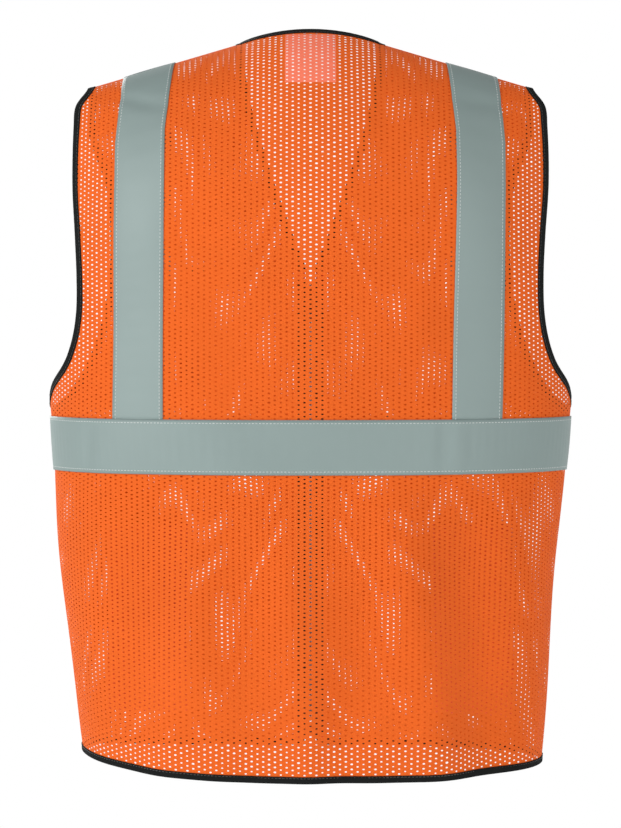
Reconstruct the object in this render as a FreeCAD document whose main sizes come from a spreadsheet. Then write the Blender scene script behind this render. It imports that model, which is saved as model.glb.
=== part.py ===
"""High visibility vest: a sleeveless mesh vest with reflective tapes, bound edges and a front zip.

Frame: +Z up, the wearer faces -Y, and the wearer's left is +X. The origin lies midway between the two
points where the shoulder seams meet the neck, which is where the vest hangs from the wearer.
All lengths are in millimetres.
"""

import FreeCAD, Part
import math
import os

import Sketcher

from FreeCAD import Placement, Rotation, Vector

doc = FreeCAD.newDocument("HighVisibilityVest")

# ---------------------------------------------------------------------------------------------------------
# Driving dimensions
# ---------------------------------------------------------------------------------------------------------

DIMENSIONS = {
    # body of the vest
    "hem_drop": 687.0,          # neck point down to the hem
    "underarm_drop": 349.0,     # neck point down to the underarm
    "chest_half": 250.0,        # half width at the underarm
    "hem_half": 216.0,          # half width at the hem
    "top_half": 238.0,          # half width of the girth at the shoulder line
    "back_depth_hem": 130.0,
    "back_depth_top": 116.0,
    "front_depth": 114.0,
    "back_round": 170.0,        # height over which the back curves in to the shoulder line
    "front_round": 190.0,
    "girth_power": 2.4,         # 2 is an ellipse, more is squarer
    # outlines
    "neck_half": 66.0,          # half width of the neck at the shoulder line
    "neck_rise": 9.5,           # back neck above the neck points
    "crown_rise": 21.0,         # shoulder line carried on to the middle, above the neck points
    "shoulder_half": 211.0,
    "shoulder_drop": 42.6,
    "neck_v_drop": 215.0,       # neck point down to the foot of the V
    "seam_angle": 100.0,        # side seam, in degrees round from the middle of the back
    # cloth
    "mesh_half": 0.4,           # half the thickness of the mesh
    "layer_gap": 0.4,
    "tape_thickness": 0.6,
    "tape_width": 50.8,
    "waist_tape_top": 358.3,    # below the neck points
    "tape_inner": 135.0,        # middle of the vest to the near edge of a vertical tape
    "tape_lean": 8.0,           # the tapes lean in this much over the shoulder
    # binding: a folded band that holds the panel's edge in its slot
    "binding_width": 8.0,
    "binding_fold": 1.6,        # how far the fold stands past the panel's edge
    "binding_half": 1.75,       # half the thickness of the folded band
    "binding_slot_half": 1.0,
    # front edge that folds back
    "fold_top": 75.0,           # fold line from the middle, at the neck
    "fold_hem": 120.0,          # and at the hem
    "fold_gap": 1.2,
    "edge_top_drop": 32.0,      # the folding edge starts this far below the neck point
    # zip
    "placket_half": 6.0,        # middle of the vest to the panel's front edge
    "zip_setback": 0.9,         # outer face of the zip tape behind the panel's middle surface
    "zip_top_inset": 9.0,       # below the foot of the V
    "zip_foot_inset": 8.0,      # above the hem
    "zip_tape_width": 14.0,
    "zip_tape_thickness": 0.6,
    "coil_gap": 0.6,            # half the gap between the two coils
    "coil_width": 2.3,
    "coil_height": 2.0,
    "coil_play": 0.05,          # between the coil and its tape
    "coil_foot_inset": 14.0,    # coil starts this far above the foot of its tape
    "stop_width": 3.0,
    "stop_thickness": 2.6,
    "stop_length": 3.0,
    "slider_half": 5.0,
    "slider_length": 14.0,
    "slider_wall": 1.0,
    "slider_clearance": 0.35,
    "blade_half": 0.35,         # the slider's wedge, which runs between the coils
    "bail_half": 1.2,
    "bail_length": 6.4,
    "bail_wall": 1.0,
    "bail_room": 2.2,
    "tab_length": 28.0,
    "tab_half": 3.6,
    "tab_eye_half": 1.7,
    "tab_eye_length": 4.6,
    "tab_thickness": 1.3,
    "tab_bar_radius": 0.8,      # the tab's round bar, which turns in the slider's bail
    "tab_hole_radius": 1.3,
    "tab_hole_inset": 4.0,      # from the tab's free end
    "pin_radius": 0.6,
    "box_half": 4.6,
    "box_height": 10.0,
    "box_thickness": 3.4,
    # pockets and label
    "pocket_depth": 11.0,       # how far a pocket stands off at the middle of its mouth
    "pen_pocket_x": 99.5,
    "pen_pocket_width": 33.5,
    "pen_pocket_foot": -340.0,
    "chest_pocket_height": 130.0,
    "lower_pocket_x": 122.0,
    "lower_pocket_width": 76.0,
    "lower_pocket_foot": -655.0,
    "lower_pocket_height": 190.0,
    "label_width": 48.0,
    "label_height": 50.0,
}

sheet = doc.addObject("Spreadsheet::Sheet", "Dimensions")
for row, (alias, value) in enumerate(DIMENSIONS.items(), start=1):
    sheet.set(f"A{row}", alias)
    sheet.set(f"B{row}", str(value))
    sheet.setAlias(f"B{row}", alias)
doc.recompute()


def size(alias):
    """A driving dimension, read from the sheet."""
    return float(sheet.get(alias))


HEM = -size("hem_drop")
UNDERARM = -size("underarm_drop")
SEAM = math.radians(size("seam_angle"))
MESH = size("mesh_half")
TAPE_INSIDE = MESH + size("layer_gap")
TAPE_OUTSIDE = TAPE_INSIDE + size("tape_thickness")
WAIST_TOP = -size("waist_tape_top")
WAIST_BOTTOM = WAIST_TOP - size("tape_width")
ZIP_TOP = -size("neck_v_drop")

# ---------------------------------------------------------------------------------------------------------
# Surface of the vest
# ---------------------------------------------------------------------------------------------------------


def ramp(value, low, high):
    return min(1.0, max(0.0, (value - low) / (high - low)))


def mix(low, high, share):
    return low + (high - low) * share


def half_width(z):
    if z < UNDERARM:
        return mix(size("hem_half"), size("chest_half"), ramp(z, HEM, UNDERARM))
    return mix(size("chest_half"), size("top_half"), ramp(z, UNDERARM, 0))


def depth(z, behind):
    if behind:
        return mix(size("back_depth_top"), size("back_depth_hem"), ramp(-z, 0, -HEM))
    return size("front_depth")


def ridge(x):
    """Height of the shoulder line over x, carried on across the neck."""
    x, neck = abs(x), size("neck_half")
    if x < neck:
        return size("crown_rise") * (1 - (x / neck) ** 2)
    return -size("shoulder_drop") * (x - neck) / (size("shoulder_half") - neck)


def bend_squared(x, z, behind):
    """0 on the shoulder line, 1 where the cloth hangs straight."""
    below = (ridge(x) - z) / size("back_round" if behind else "front_round")
    return 1 - (1 - below) ** 2 if below < 1 else 1.0


def across(angle):
    """Share of the half width at an angle round from the middle of the back."""
    return math.copysign(abs(math.sin(angle)) ** (2 / size("girth_power")), math.sin(angle))


def angle_at(x, z, front=False):
    share = min(1.0, abs(x) / half_width(z))
    angle = math.asin(share ** (size("girth_power") / 2))
    return math.copysign(math.pi - angle if front else angle, x)


def on_surface(angle, z):
    """Point of the cloth's middle surface, at an angle round from the middle of the back."""
    x = half_width(z) * across(angle)
    behind = math.cos(angle) > 0
    bend = math.sqrt(max(0.0, bend_squared(x, z, behind)))
    return Vector(x, depth(z, behind) * math.cos(angle) * bend, z)


def level_set(point):
    """Zero on the cloth's middle surface, positive outside it."""
    behind = point.y > 0
    share = (abs(point.x) / half_width(point.z)) ** size("girth_power")
    return (point.y / depth(point.z, behind)) ** 2 - bend_squared(point.x, point.z, behind) * (1 - share)


def gradient(point):
    step = 0.05
    rise = []
    for axis in (Vector(step, 0, 0), Vector(0, step, 0), Vector(0, 0, step)):
        rise.append((level_set(point + axis) - level_set(point - axis)) / (2 * step))
    return Vector(*rise)


def outward(point):
    """Unit normal of the cloth, away from the wearer."""
    return gradient(point).normalize()


def projected(point):
    """The surface point next to a point near the surface."""
    for _ in range(3):
        slope = gradient(point)
        point = point - slope * (level_set(point) / slope.Length ** 2)
    return point


def smooth_table(points, value):
    """Cubic curve through (value, result) pairs, flat at both ends."""
    slopes = [0.0] * len(points)
    for k in range(1, len(points) - 1):
        slopes[k] = (points[k + 1][1] - points[k - 1][1]) / (points[k + 1][0] - points[k - 1][0])
    value = min(points[-1][0], max(points[0][0], value))
    for k in range(len(points) - 1):
        (low, start), (high, end) = points[k], points[k + 1]
        if value <= high:
            span, share = high - low, (value - low) / (high - low)
            return (
                start * (1 + 2 * share) * (1 - share) ** 2
                + slopes[k] * span * share * (1 - share) ** 2
                + end * share ** 2 * (3 - 2 * share)
                - slopes[k + 1] * span * share ** 2 * (1 - share)
            )


# ---------------------------------------------------------------------------------------------------------
# Outlines
# ---------------------------------------------------------------------------------------------------------

ARMHOLE_HEIGHT = -size("shoulder_drop") - UNDERARM
SHOULDER_ANGLE = angle_at(size("shoulder_half"), -size("shoulder_drop"))

# Armhole edges: degrees round from the middle of the back, over the share of the armhole's height.
ARMHOLE_BACK = [
    (0, 100), (0.06, 81), (0.13, 67.6), (0.2, 62.2), (0.3, 59.6),
    (0.42, 60), (0.55, 62), (0.7, 64.8), (0.88, 65.5), (0.94, 65.2),
]
ARMHOLE_FRONT = [(0, 100), (0.05, 113), (0.13, 121), (0.27, 127.5), (0.46, 130.5), (0.7, 128.5), (0.88, 120)]


def armhole_angle(z, front):
    """Angle of the armhole edge at a height. Its foot is round, so it follows the root of the height."""
    table = ARMHOLE_FRONT if front else ARMHOLE_BACK
    top = math.degrees(math.pi - SHOULDER_ANGLE if front else SHOULDER_ANGLE)
    points = [(math.sqrt(share), degrees) for share, degrees in table] + [(1.0, top)]
    return math.radians(smooth_table(points, math.sqrt(ramp(z, UNDERARM, -size("shoulder_drop")))))


def edge_angle(z, front):
    return SEAM if z < UNDERARM else armhole_angle(z, front)


def neckline(z):
    """Front neck edge: half width over height, down to the zip."""
    points = [
        (ZIP_TOP, size("placket_half")),
        (0.87 * ZIP_TOP, 0.24 * size("neck_half")),
        (0.56 * ZIP_TOP, 0.6 * size("neck_half")),
        (0.25 * ZIP_TOP, 0.9 * size("neck_half")),
        (0.0, size("neck_half")),
    ]
    return smooth_table(points, z)


def back_neck(x):
    return size("neck_rise") * (1 - (x / size("neck_half")) ** 2)


def row_height(x, side_z, front):
    """Height over x of a row of knitting that meets the side at side_z. Top rows follow the shoulder."""
    share = ramp(side_z, UNDERARM, -size("shoulder_drop"))
    rise = share ** 2 * (3 - 2 * share)
    inside_neck = abs(x) < size("neck_half") and not front
    top = back_neck(x) if inside_neck else ridge(x)
    return side_z + rise * (top + size("shoulder_drop"))


LEVELS_BELOW = 12
LEVELS_ABOVE = 24


def armhole_levels(count):
    """Heights from the underarm to the shoulder tip, closer together at both ends."""
    return [UNDERARM + ARMHOLE_HEIGHT * (1 - math.cos(math.pi * k / count)) / 2 for k in range(count + 1)]


levels = [mix(HEM, UNDERARM, k / LEVELS_BELOW) for k in range(LEVELS_BELOW)] + armhole_levels(LEVELS_ABOVE)


def settle(angle, side_z, front):
    """The (angle, height) of a row's point at an angle."""
    z = side_z
    for _ in range(6):
        z = row_height(half_width(z) * across(angle), side_z, front)
    return angle, z


def at_x(x, side_z, front):
    z = row_height(x, side_z, front)
    return angle_at(x, z, front), z


def walk(x, side_z, front, distance):
    """Point of a row, a distance along the cloth from x, away from the middle."""
    angle, z = at_x(x, side_z, front)
    step = math.radians(-0.25 if front else 0.25)
    point, gone = on_surface(angle, z), 0.0
    while gone < distance:
        angle, z = settle(angle + step, side_z, front)
        stride = on_surface(angle, z) - point
        gone += stride.Length
        point = point + stride
    return angle - step * (gone - distance) / stride.Length


# ---------------------------------------------------------------------------------------------------------
# Making cloth solids
# ---------------------------------------------------------------------------------------------------------


def curve(points):
    if len(points) == 2:
        return Part.makeLine(*points)
    spline = Part.BSplineCurve()
    spline.interpolate(points)
    return spline.toShape()


def ruled(row_a, row_b, breaks=()):
    """Faces between two rows of points, split at the breaks."""
    ends = [0, *breaks, len(row_a) - 1]
    faces = []
    for first, last in zip(ends, ends[1:]):
        part_a, part_b = row_a[first:last + 1], row_b[first:last + 1]
        faces.append(Part.makeRuledSurface(curve(part_a), curve(part_b)))
    return faces


def closed_solid(faces):
    shell = Part.makeCompound(faces)
    shell.sewShape(0.001)
    solid = Part.makeSolid(shell.Shells[0])
    if solid.Volume < 0:
        solid.reverse()
    return solid


def cloth(rows, inside, outside, breaks=(), bulge=None):
    """Solid between two offsets from rows of (angle, height). A bulge adds to both offsets."""
    low, high = [], []
    for j, row in enumerate(rows):
        low_row, high_row = [], []
        for i, (angle, z) in enumerate(row):
            point = on_surface(angle, z)
            normal = outward(point)
            extra = bulge(i / (len(row) - 1), j / (len(rows) - 1)) if bulge else 0.0
            low_row.append(point + normal * (inside + extra))
            high_row.append(point + normal * (outside + extra))
        low.append(low_row)
        high.append(high_row)
    faces = ruled(low[0], high[0], breaks) + ruled(low[-1], high[-1], breaks)
    for j in range(len(rows) - 1):
        faces += ruled(low[j], low[j + 1], breaks) + ruled(high[j], high[j + 1], breaks)
        for end in (0, -1):
            faces += ruled([low[j][end], high[j][end]], [low[j + 1][end], high[j + 1][end]])
    return closed_solid(faces)


def binding(path, inward_sign, breaks=()):
    """Folded band along an edge path of (angle, height). It is a U round the edge, open to the panel."""
    points = [on_surface(angle, z) for angle, z in path]
    half, slot = size("binding_half"), size("binding_slot_half")
    fold, wall = size("binding_fold"), size("binding_half") - size("binding_slot_half")
    reach = size("binding_width") - fold
    strands = [[] for _ in range(8)]
    for k, point in enumerate(points):
        along = points[min(k + 1, len(points) - 1)] - points[max(k - 1, 0)]
        normal = outward(point)
        inward = normal.cross(along).normalize() * inward_sign
        deep = projected(point + inward * reach)
        deep_normal = outward(deep)
        section = [
            point - inward * fold - normal * half,
            deep - deep_normal * half,
            deep - deep_normal * slot,
            point - inward * (fold - wall) - normal * slot,
            point - inward * (fold - wall) + normal * slot,
            deep + deep_normal * slot,
            deep + deep_normal * half,
            point - inward * fold + normal * half,
        ]
        for strand, corner in zip(strands, section):
            strand.append(corner)
    faces = []
    for k in range(8):
        faces += ruled(strands[k], strands[(k + 1) % 8], breaks)
    for end in (0, -1):
        corner = [strand[end] for strand in strands]
        for a, b, c, d in ((0, 1, 2, 3), (0, 3, 4, 7), (4, 5, 6, 7)):
            faces += ruled([corner[a], corner[b]], [corner[d], corner[c]])
    return closed_solid(faces)


def mirrored(shape):
    return shape.mirror(Vector(0, 0, 0), Vector(1, 0, 0))


def add_piece(name, shape):
    piece = doc.addObject("Part::Feature", name)
    piece.Label = name
    piece.Shape = shape
    piece.Placement = Placement(Vector(0, 0, 0), Rotation())
    return piece


def add_pair(name, left_shape):
    """A piece on the wearer's left and its mirror image on the right."""
    add_piece(f"{name}_left", left_shape)
    add_piece(f"{name}_right", mirrored(left_shape))


# ---------------------------------------------------------------------------------------------------------
# Back panel
# ---------------------------------------------------------------------------------------------------------

NECK_COLUMNS = 9
SIDE_COLUMNS = 9


def back_row(side_z):
    """Left to right: shoulder part, neck part, shoulder part. The neck points are breaks."""
    neck = size("neck_half")
    corner, _ = at_x(neck, side_z, False)
    edge = edge_angle(side_z, False)
    shoulder = [mix(corner, edge, k / SIDE_COLUMNS) for k in range(1, SIDE_COLUMNS + 1)]
    row = [settle(-angle, side_z, False) for angle in reversed(shoulder)]
    for k in range(NECK_COLUMNS + 1):
        x = neck * math.sin(math.pi * (k / NECK_COLUMNS - 0.5))
        row.append(at_x(x, side_z, False))
    row += [settle(angle, side_z, False) for angle in shoulder]
    return row


back_breaks = (SIDE_COLUMNS, SIDE_COLUMNS + NECK_COLUMNS)
add_piece("back_panel", cloth([back_row(z) for z in levels], -MESH, MESH, back_breaks))

# ---------------------------------------------------------------------------------------------------------
# Front panels, split along the fold line into a fixed part and an edge that folds back
# ---------------------------------------------------------------------------------------------------------

FRONT_COLUMNS = 16
OUTSIDE = 400.0


def front_edge_x(side_z):
    """Half width of the front's inner edge on a row: the zip edge, then the neckline."""
    x = size("placket_half")
    for _ in range(40):
        x = mix(x, neckline(row_height(x, side_z, True)), 0.5)
    return x


def front_row(side_z):
    inner, _ = at_x(front_edge_x(side_z), side_z, True)
    outer = edge_angle(side_z, True)
    row = []
    for k in range(FRONT_COLUMNS + 1):
        share = (k / FRONT_COLUMNS) ** 1.15
        row.append(settle(mix(inner, outer, share), side_z, True))
    return row


def fold_x(z):
    return mix(size("fold_top"), size("fold_hem"), z / HEM)


def fold_region(shift, top):
    """Everything nearer the middle than the fold line moved by shift, and below top."""
    bottom = HEM - 20
    corners = [
        Vector(-1, -OUTSIDE, top),
        Vector(fold_x(top) + shift, -OUTSIDE, top),
        Vector(fold_x(bottom) + shift, -OUTSIDE, bottom),
        Vector(-1, -OUTSIDE, bottom),
        Vector(-1, -OUTSIDE, top),
    ]
    return Part.Face(Part.makePolygon(corners)).extrude(Vector(0, OUTSIDE, 0))


EDGE_TOP = -size("edge_top_drop")
folding_region = fold_region(-size("fold_gap") / 2, EDGE_TOP)
open_region = fold_region(size("fold_gap") / 2, EDGE_TOP + 2 * size("fold_gap"))


def add_split(fixed_name, folding_name, shape):
    """A left front piece as its fixed part and its folding part, and the same on the right."""
    add_pair(fixed_name, shape.cut(open_region))
    add_pair(folding_name, shape.common(folding_region))


add_split("front_panel", "front_edge", cloth([front_row(z) for z in levels], -MESH, MESH))

# ---------------------------------------------------------------------------------------------------------
# Reflective tapes
# ---------------------------------------------------------------------------------------------------------

TAPE_COLUMNS = 6
TAPE_JOIN = 0.5


def tape_inner_x(z):
    """The vertical tapes lean in a little over the shoulder."""
    return size("tape_inner") - size("tape_lean") * ramp(z, 2 * -size("shoulder_drop"), 0)


def tape_row(side_z, front):
    z = side_z
    for _ in range(6):
        z = row_height(tape_inner_x(z), side_z, front)
    inner, _ = at_x(tape_inner_x(z), side_z, front)
    outer = walk(tape_inner_x(z), side_z, front, size("tape_width"))
    return [settle(mix(inner, outer, k / TAPE_COLUMNS), side_z, front) for k in range(TAPE_COLUMNS + 1)]


tape_levels = [WAIST_TOP + TAPE_JOIN] + [z for z in levels if z > WAIST_TOP + TAPE_JOIN]
tape_rows = [tape_row(z, False) for z in tape_levels]
tape_rows += [tape_row(z, True) for z in reversed(tape_levels[:-1])]
add_pair("shoulder_tape", cloth(tape_rows, TAPE_INSIDE, TAPE_OUTSIDE))


def waist_row(z, front):
    """Round the waist at one height: seam to seam behind, or seam to zip in front."""
    columns = 16 if front else 32
    first = at_x(size("placket_half"), z, True)[0] if front else -SEAM
    return [(mix(first, SEAM, k / columns), z) for k in range(columns + 1)]


waist_heights = [WAIST_BOTTOM, (WAIST_BOTTOM + WAIST_TOP) / 2, WAIST_TOP]
back_waist = cloth([waist_row(z, False) for z in waist_heights], TAPE_INSIDE, TAPE_OUTSIDE)
add_piece("waist_tape_back", back_waist)
front_waist = cloth([waist_row(z, True) for z in waist_heights], TAPE_INSIDE, TAPE_OUTSIDE)
add_split("waist_tape_side", "waist_tape_edge", front_waist)

# ---------------------------------------------------------------------------------------------------------
# Bindings
# ---------------------------------------------------------------------------------------------------------

# Neck: the back length runs over both neck points and a little way down the front.
NECK_FRONT_POINTS = 5


def neck_front_path(top, bottom, count):
    """Down the front neck edge on the wearer's left, closer together near the shoulder line."""
    path = []
    for k in range(count + 1):
        z = -mix(math.sqrt(-top), math.sqrt(-bottom), k / count) ** 2
        path.append((angle_at(neckline(z), z, True), z))
    return path


left_turn = neck_front_path(0.0, EDGE_TOP + 2 * size("fold_gap"), NECK_FRONT_POINTS)[1:]
neck_path = [(-angle, z) for angle, z in reversed(left_turn)]
for k in range(2 * NECK_COLUMNS + 1):
    x = size("neck_half") * math.sin(math.pi * (k / (2 * NECK_COLUMNS) - 0.5))
    neck_path.append((angle_at(x, back_neck(x)), back_neck(x)))
neck_path += left_turn
add_piece("neck_binding_back", binding(neck_path, 1))
add_pair("neck_binding", binding(neck_front_path(EDGE_TOP, ZIP_TOP, 14), 1))

# Armholes: one length each, from the side seam up the back, over the shoulder and down the front.
armhole_heights = armhole_levels(24)
armhole_path = [(armhole_angle(z, False), z) for z in armhole_heights]
armhole_path += [(armhole_angle(z, True), z) for z in reversed(armhole_heights[:-1])]
add_pair("armhole_binding", binding(armhole_path, -1))

# Hem: seam to seam behind, seam to zip in front.
back_hem = [(angle, HEM) for angle, _ in waist_row(HEM, False)]
front_hem = [(angle, HEM) for angle, _ in waist_row(HEM, True)]
add_piece("hem_binding_back", binding(back_hem, -1))
add_split("hem_binding_side", "hem_binding_edge", binding(front_hem, 1))

# ---------------------------------------------------------------------------------------------------------
# Pockets and label
# ---------------------------------------------------------------------------------------------------------


def patch_rows(left_x, right_x, bottom, top, front, columns=10, rows=12):
    """Rows of a rectangular patch lying on the surface."""
    grid = []
    for j in range(rows + 1):
        z = mix(bottom, top, j / rows)
        first, last = angle_at(left_x, z, front), angle_at(right_x, z, front)
        grid.append([(mix(first, last, i / columns), z) for i in range(columns + 1)])
    return grid


def pocket_bulge(amount):
    """Flat along the sewn sides and foot, standing off at the mouth."""
    def bulge(across_share, up_share):
        arch = math.sin(math.pi * across_share) ** 0.8 if 0 < across_share < 1 else 0.0
        lift = math.sin(math.pi / 2 * min(1.0, 1.6 * up_share))
        return amount * arch * lift
    return bulge


chest_left = size("pen_pocket_x")
chest_pocket = cloth(
    patch_rows(chest_left, chest_left + size("pen_pocket_width"), size("pen_pocket_foot"),
               size("pen_pocket_foot") + size("chest_pocket_height"), True),
    TAPE_INSIDE, TAPE_OUTSIDE, bulge=pocket_bulge(size("pocket_depth")),
)
add_piece("chest_pocket", chest_pocket)
lower_left = size("lower_pocket_x")
lower_pocket = cloth(
    patch_rows(lower_left, lower_left + size("lower_pocket_width"), size("lower_pocket_foot"),
               size("lower_pocket_foot") + size("lower_pocket_height"), True),
    -TAPE_OUTSIDE, -TAPE_INSIDE, bulge=pocket_bulge(-size("pocket_depth")),
)
add_pair("lower_pocket", lower_pocket)

label_top = size("neck_rise") - 1.0
label_rows = patch_rows(-size("label_width") / 2, size("label_width") / 2, label_top - size("label_height"),
                        label_top - 1.5, False, columns=8, rows=8)
add_piece("neck_label", cloth(label_rows, -size("binding_half") - 0.8, -size("binding_half") - 0.4))

# ---------------------------------------------------------------------------------------------------------
# Zip
# ---------------------------------------------------------------------------------------------------------


def box(name, length, width, height, position):
    """A Part box whose sizes and place are expressions on the sheet."""
    piece = doc.addObject("Part::Box", name)
    piece.Label = name
    piece.setExpression("Length", length)
    piece.setExpression("Width", width)
    piece.setExpression("Height", height)
    for axis, value in zip("xyz", position):
        piece.setExpression(f"Placement.Base.{axis}", value)
    return piece


D = "Dimensions."
TAPE_FACE = f"(-{D}front_depth + {D}zip_setback)"
ZIP_LENGTH = f"({D}hem_drop - {D}neck_v_drop - {D}zip_top_inset - {D}zip_foot_inset)"
ZIP_FOOT = f"(-{D}hem_drop + {D}zip_foot_inset)"
COIL_FOOT = f"({ZIP_FOOT} + {D}coil_foot_inset)"
COIL_LENGTH = f"({ZIP_LENGTH} - {D}coil_foot_inset - {D}stop_length - 2)"
COIL_BACK = f"({TAPE_FACE} - {D}coil_play)"

for side, sign in (("left", 1), ("right", -1)):
    tape_x = f"{D}coil_gap" if sign > 0 else f"-{D}coil_gap - {D}zip_tape_width"
    coil_x = f"{D}coil_gap" if sign > 0 else f"-{D}coil_gap - {D}coil_width"
    stop_x = f"{D}coil_gap" if sign > 0 else f"-{D}coil_gap - {D}stop_width"
    box(f"zipper_tape_{side}", f"{D}zip_tape_width", f"{D}zip_tape_thickness", ZIP_LENGTH,
        (tape_x, TAPE_FACE, ZIP_FOOT))
    box(f"zipper_coil_{side}", f"{D}coil_width", f"{D}coil_height", COIL_LENGTH,
        (coil_x, f"{COIL_BACK} - {D}coil_height", COIL_FOOT))
    box(f"zipper_top_stop_{side}", f"{D}stop_width", f"{D}stop_thickness", f"{D}stop_length",
        (stop_x, f"{COIL_BACK} - {D}stop_thickness", f"{COIL_FOOT} + {COIL_LENGTH} + 0.2"))

pin = doc.addObject("Part::Cylinder", "zipper_insertion_pin")
pin.Label = "zipper_insertion_pin"
pin.setExpression("Radius", f"{D}pin_radius")
pin.setExpression("Height", f"{D}coil_foot_inset - 2")
pin.setExpression("Placement.Base.x", f"{D}coil_gap + {D}coil_width / 2")
pin.setExpression("Placement.Base.y", f"{COIL_BACK} - {D}coil_height / 2")
pin.setExpression("Placement.Base.z", f"{ZIP_FOOT} + 1.5")


# Parts made as bodies: each is drawn in its own frame and placed by expressions.


def new_body(name, position):
    body = doc.addObject("PartDesign::Body", name)
    body.Label = name
    for axis, value in zip("xyz", position):
        body.setExpression(f"Placement.Base.{axis}", value)
    return body


def new_sketch(body, role, name):
    sketch = body.newObject("Sketcher::SketchObject", name)
    plane = next(feature for feature in body.Origin.OriginFeatures if feature.Role == role)
    sketch.AttachmentSupport = [(plane, "")]
    sketch.MapMode = "FlatFace"
    return sketch


def add_rectangle(sketch, left, right, low, high):
    """Rectangle between four expressions. Its corners are held to the sketch's origin by them."""
    x0, x1, y0, y1 = (float(sheet.evalExpression(side)) for side in (left, right, low, high))
    corners = [Vector(x0, y0, 0), Vector(x1, y0, 0), Vector(x1, y1, 0), Vector(x0, y1, 0)]
    first = sketch.GeometryCount
    for k in range(4):
        sketch.addGeometry(Part.LineSegment(corners[k], corners[(k + 1) % 4]))
    for k in range(4):
        sketch.addConstraint(Sketcher.Constraint("Coincident", first + k, 2, first + (k + 1) % 4, 1))
    for k, kind in enumerate(("Horizontal", "Vertical", "Horizontal", "Vertical")):
        sketch.addConstraint(Sketcher.Constraint(kind, first + k))
    held = (("DistanceX", first, x0, left), ("DistanceY", first, y0, low),
            ("DistanceX", first + 2, x1, right), ("DistanceY", first + 2, y1, high))
    for kind, line, value, expression in held:
        number = sketch.addConstraint(Sketcher.Constraint(kind, -1, 1, line, 1, value))
        sketch.setExpression(f"Constraints[{number}]", expression)


def add_feature(body, kind, name, sketch, length, symmetric=False):
    feature = body.newObject(f"PartDesign::{kind}", name)
    feature.Profile = sketch
    feature.setExpression("Length", length)
    feature.SideType = "Symmetric" if symmetric else "One side"
    doc.recompute()
    return feature


# Slider: its own origin is on the coils' back face, at the foot of the slider.
SLIDER_FOOT = f"({COIL_FOOT} + {COIL_LENGTH} - 0.5 - {D}slider_length)"
COIL_ROOM = f"({D}coil_gap + {D}coil_width + {D}slider_clearance)"
CHANNEL = f"({D}coil_height + {D}slider_clearance)"
PLATE_FACE = f"({CHANNEL} + {D}slider_wall)"
BACK_PLATE = f"({D}zip_tape_thickness + {D}coil_play + {D}slider_clearance)"
BAIL_FOOT = f"({D}slider_length - {D}bail_length - 1.5)"

slider = new_body("zipper_slider", ("0", COIL_BACK, SLIDER_FOOT))
block = new_sketch(slider, "XY_Plane", "slider_block_outline")
add_rectangle(block, f"-{D}slider_half", f"{D}slider_half", f"-{PLATE_FACE}", "-0.15")
add_feature(slider, "Pad", "slider_block", block, f"{D}slider_length")
blade = new_sketch(slider, "XY_Plane", "slider_blade_outline")
blade.setExpression("AttachmentOffset.Base.z", f"{D}slider_length / 2")
add_rectangle(blade, f"-{D}blade_half", f"{D}blade_half", f"-{CHANNEL} - 0.2", f"{BACK_PLATE} + 0.1")
back_plate = new_sketch(slider, "XY_Plane", "slider_back_outline")
add_rectangle(back_plate, f"-{D}slider_half", f"{D}slider_half", BACK_PLATE, f"{BACK_PLATE} + {D}slider_wall")
channel = new_sketch(slider, "XY_Plane", "slider_channel_outline")
add_rectangle(channel, f"-{COIL_ROOM}", COIL_ROOM, f"-{CHANNEL}", "0.5")
cut = add_feature(slider, "Pocket", "slider_channel", channel, f"{D}slider_length")
cut.Reversed = True
add_feature(slider, "Pad", "slider_blade", blade, f"{D}slider_length / 2")
add_feature(slider, "Pad", "slider_back", back_plate, f"{D}slider_length")
bail = new_sketch(slider, "YZ_Plane", "slider_bail_outline")
add_rectangle(bail, f"-{PLATE_FACE} - {D}bail_room - {D}bail_wall", f"-{PLATE_FACE} + 0.2",
              BAIL_FOOT, f"{BAIL_FOOT} + {D}bail_length")
add_rectangle(bail, f"-{PLATE_FACE} - {D}bail_room", f"-{PLATE_FACE}",
              f"{BAIL_FOOT} + {D}bail_wall", f"{BAIL_FOOT} + {D}bail_length - {D}bail_wall")
add_feature(slider, "Pad", "slider_bail", bail, f"2 * {D}bail_half", symmetric=True)

# Pull tab: its own origin is on the pivot.
PIVOT_Y = f"{COIL_BACK} - {PLATE_FACE} - {D}bail_room / 2"
tab = new_body("pull_tab", ("0", PIVOT_Y, f"{SLIDER_FOOT} + {BAIL_FOOT} + {D}bail_length / 2"))
plate = new_sketch(tab, "XZ_Plane", "tab_outline")
add_rectangle(plate, f"-{D}tab_half", f"{D}tab_half", f"-{D}tab_length", "0")
add_rectangle(plate, f"-{D}tab_eye_half", f"{D}tab_eye_half", f"-{D}tab_eye_length", f"-{D}tab_bar_radius / 3")
hole_z = size("tab_hole_inset") - size("tab_length")
hole = plate.addGeometry(Part.Circle(Vector(0, hole_z, 0), Vector(0, 0, 1), size("tab_hole_radius")))
number = plate.addConstraint(Sketcher.Constraint("Radius", hole, size("tab_hole_radius")))
plate.setExpression(f"Constraints[{number}]", f"{D}tab_hole_radius")
plate.addConstraint(Sketcher.Constraint("PointOnObject", hole, 3, -2))
number = plate.addConstraint(Sketcher.Constraint("DistanceY", -1, 1, hole, 3, hole_z))
plate.setExpression(f"Constraints[{number}]", f"{D}tab_hole_inset - {D}tab_length")
add_feature(tab, "Pad", "tab_plate", plate, f"{D}tab_thickness", symmetric=True)
bar = new_sketch(tab, "YZ_Plane", "tab_bar_outline")
round_bar = bar.addGeometry(Part.Circle(Vector(0, 0, 0), Vector(0, 0, 1), size("tab_bar_radius")))
bar.addConstraint(Sketcher.Constraint("Coincident", round_bar, 3, -1, 1))
number = bar.addConstraint(Sketcher.Constraint("Radius", round_bar, size("tab_bar_radius")))
bar.setExpression(f"Constraints[{number}]", f"{D}tab_bar_radius")
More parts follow.
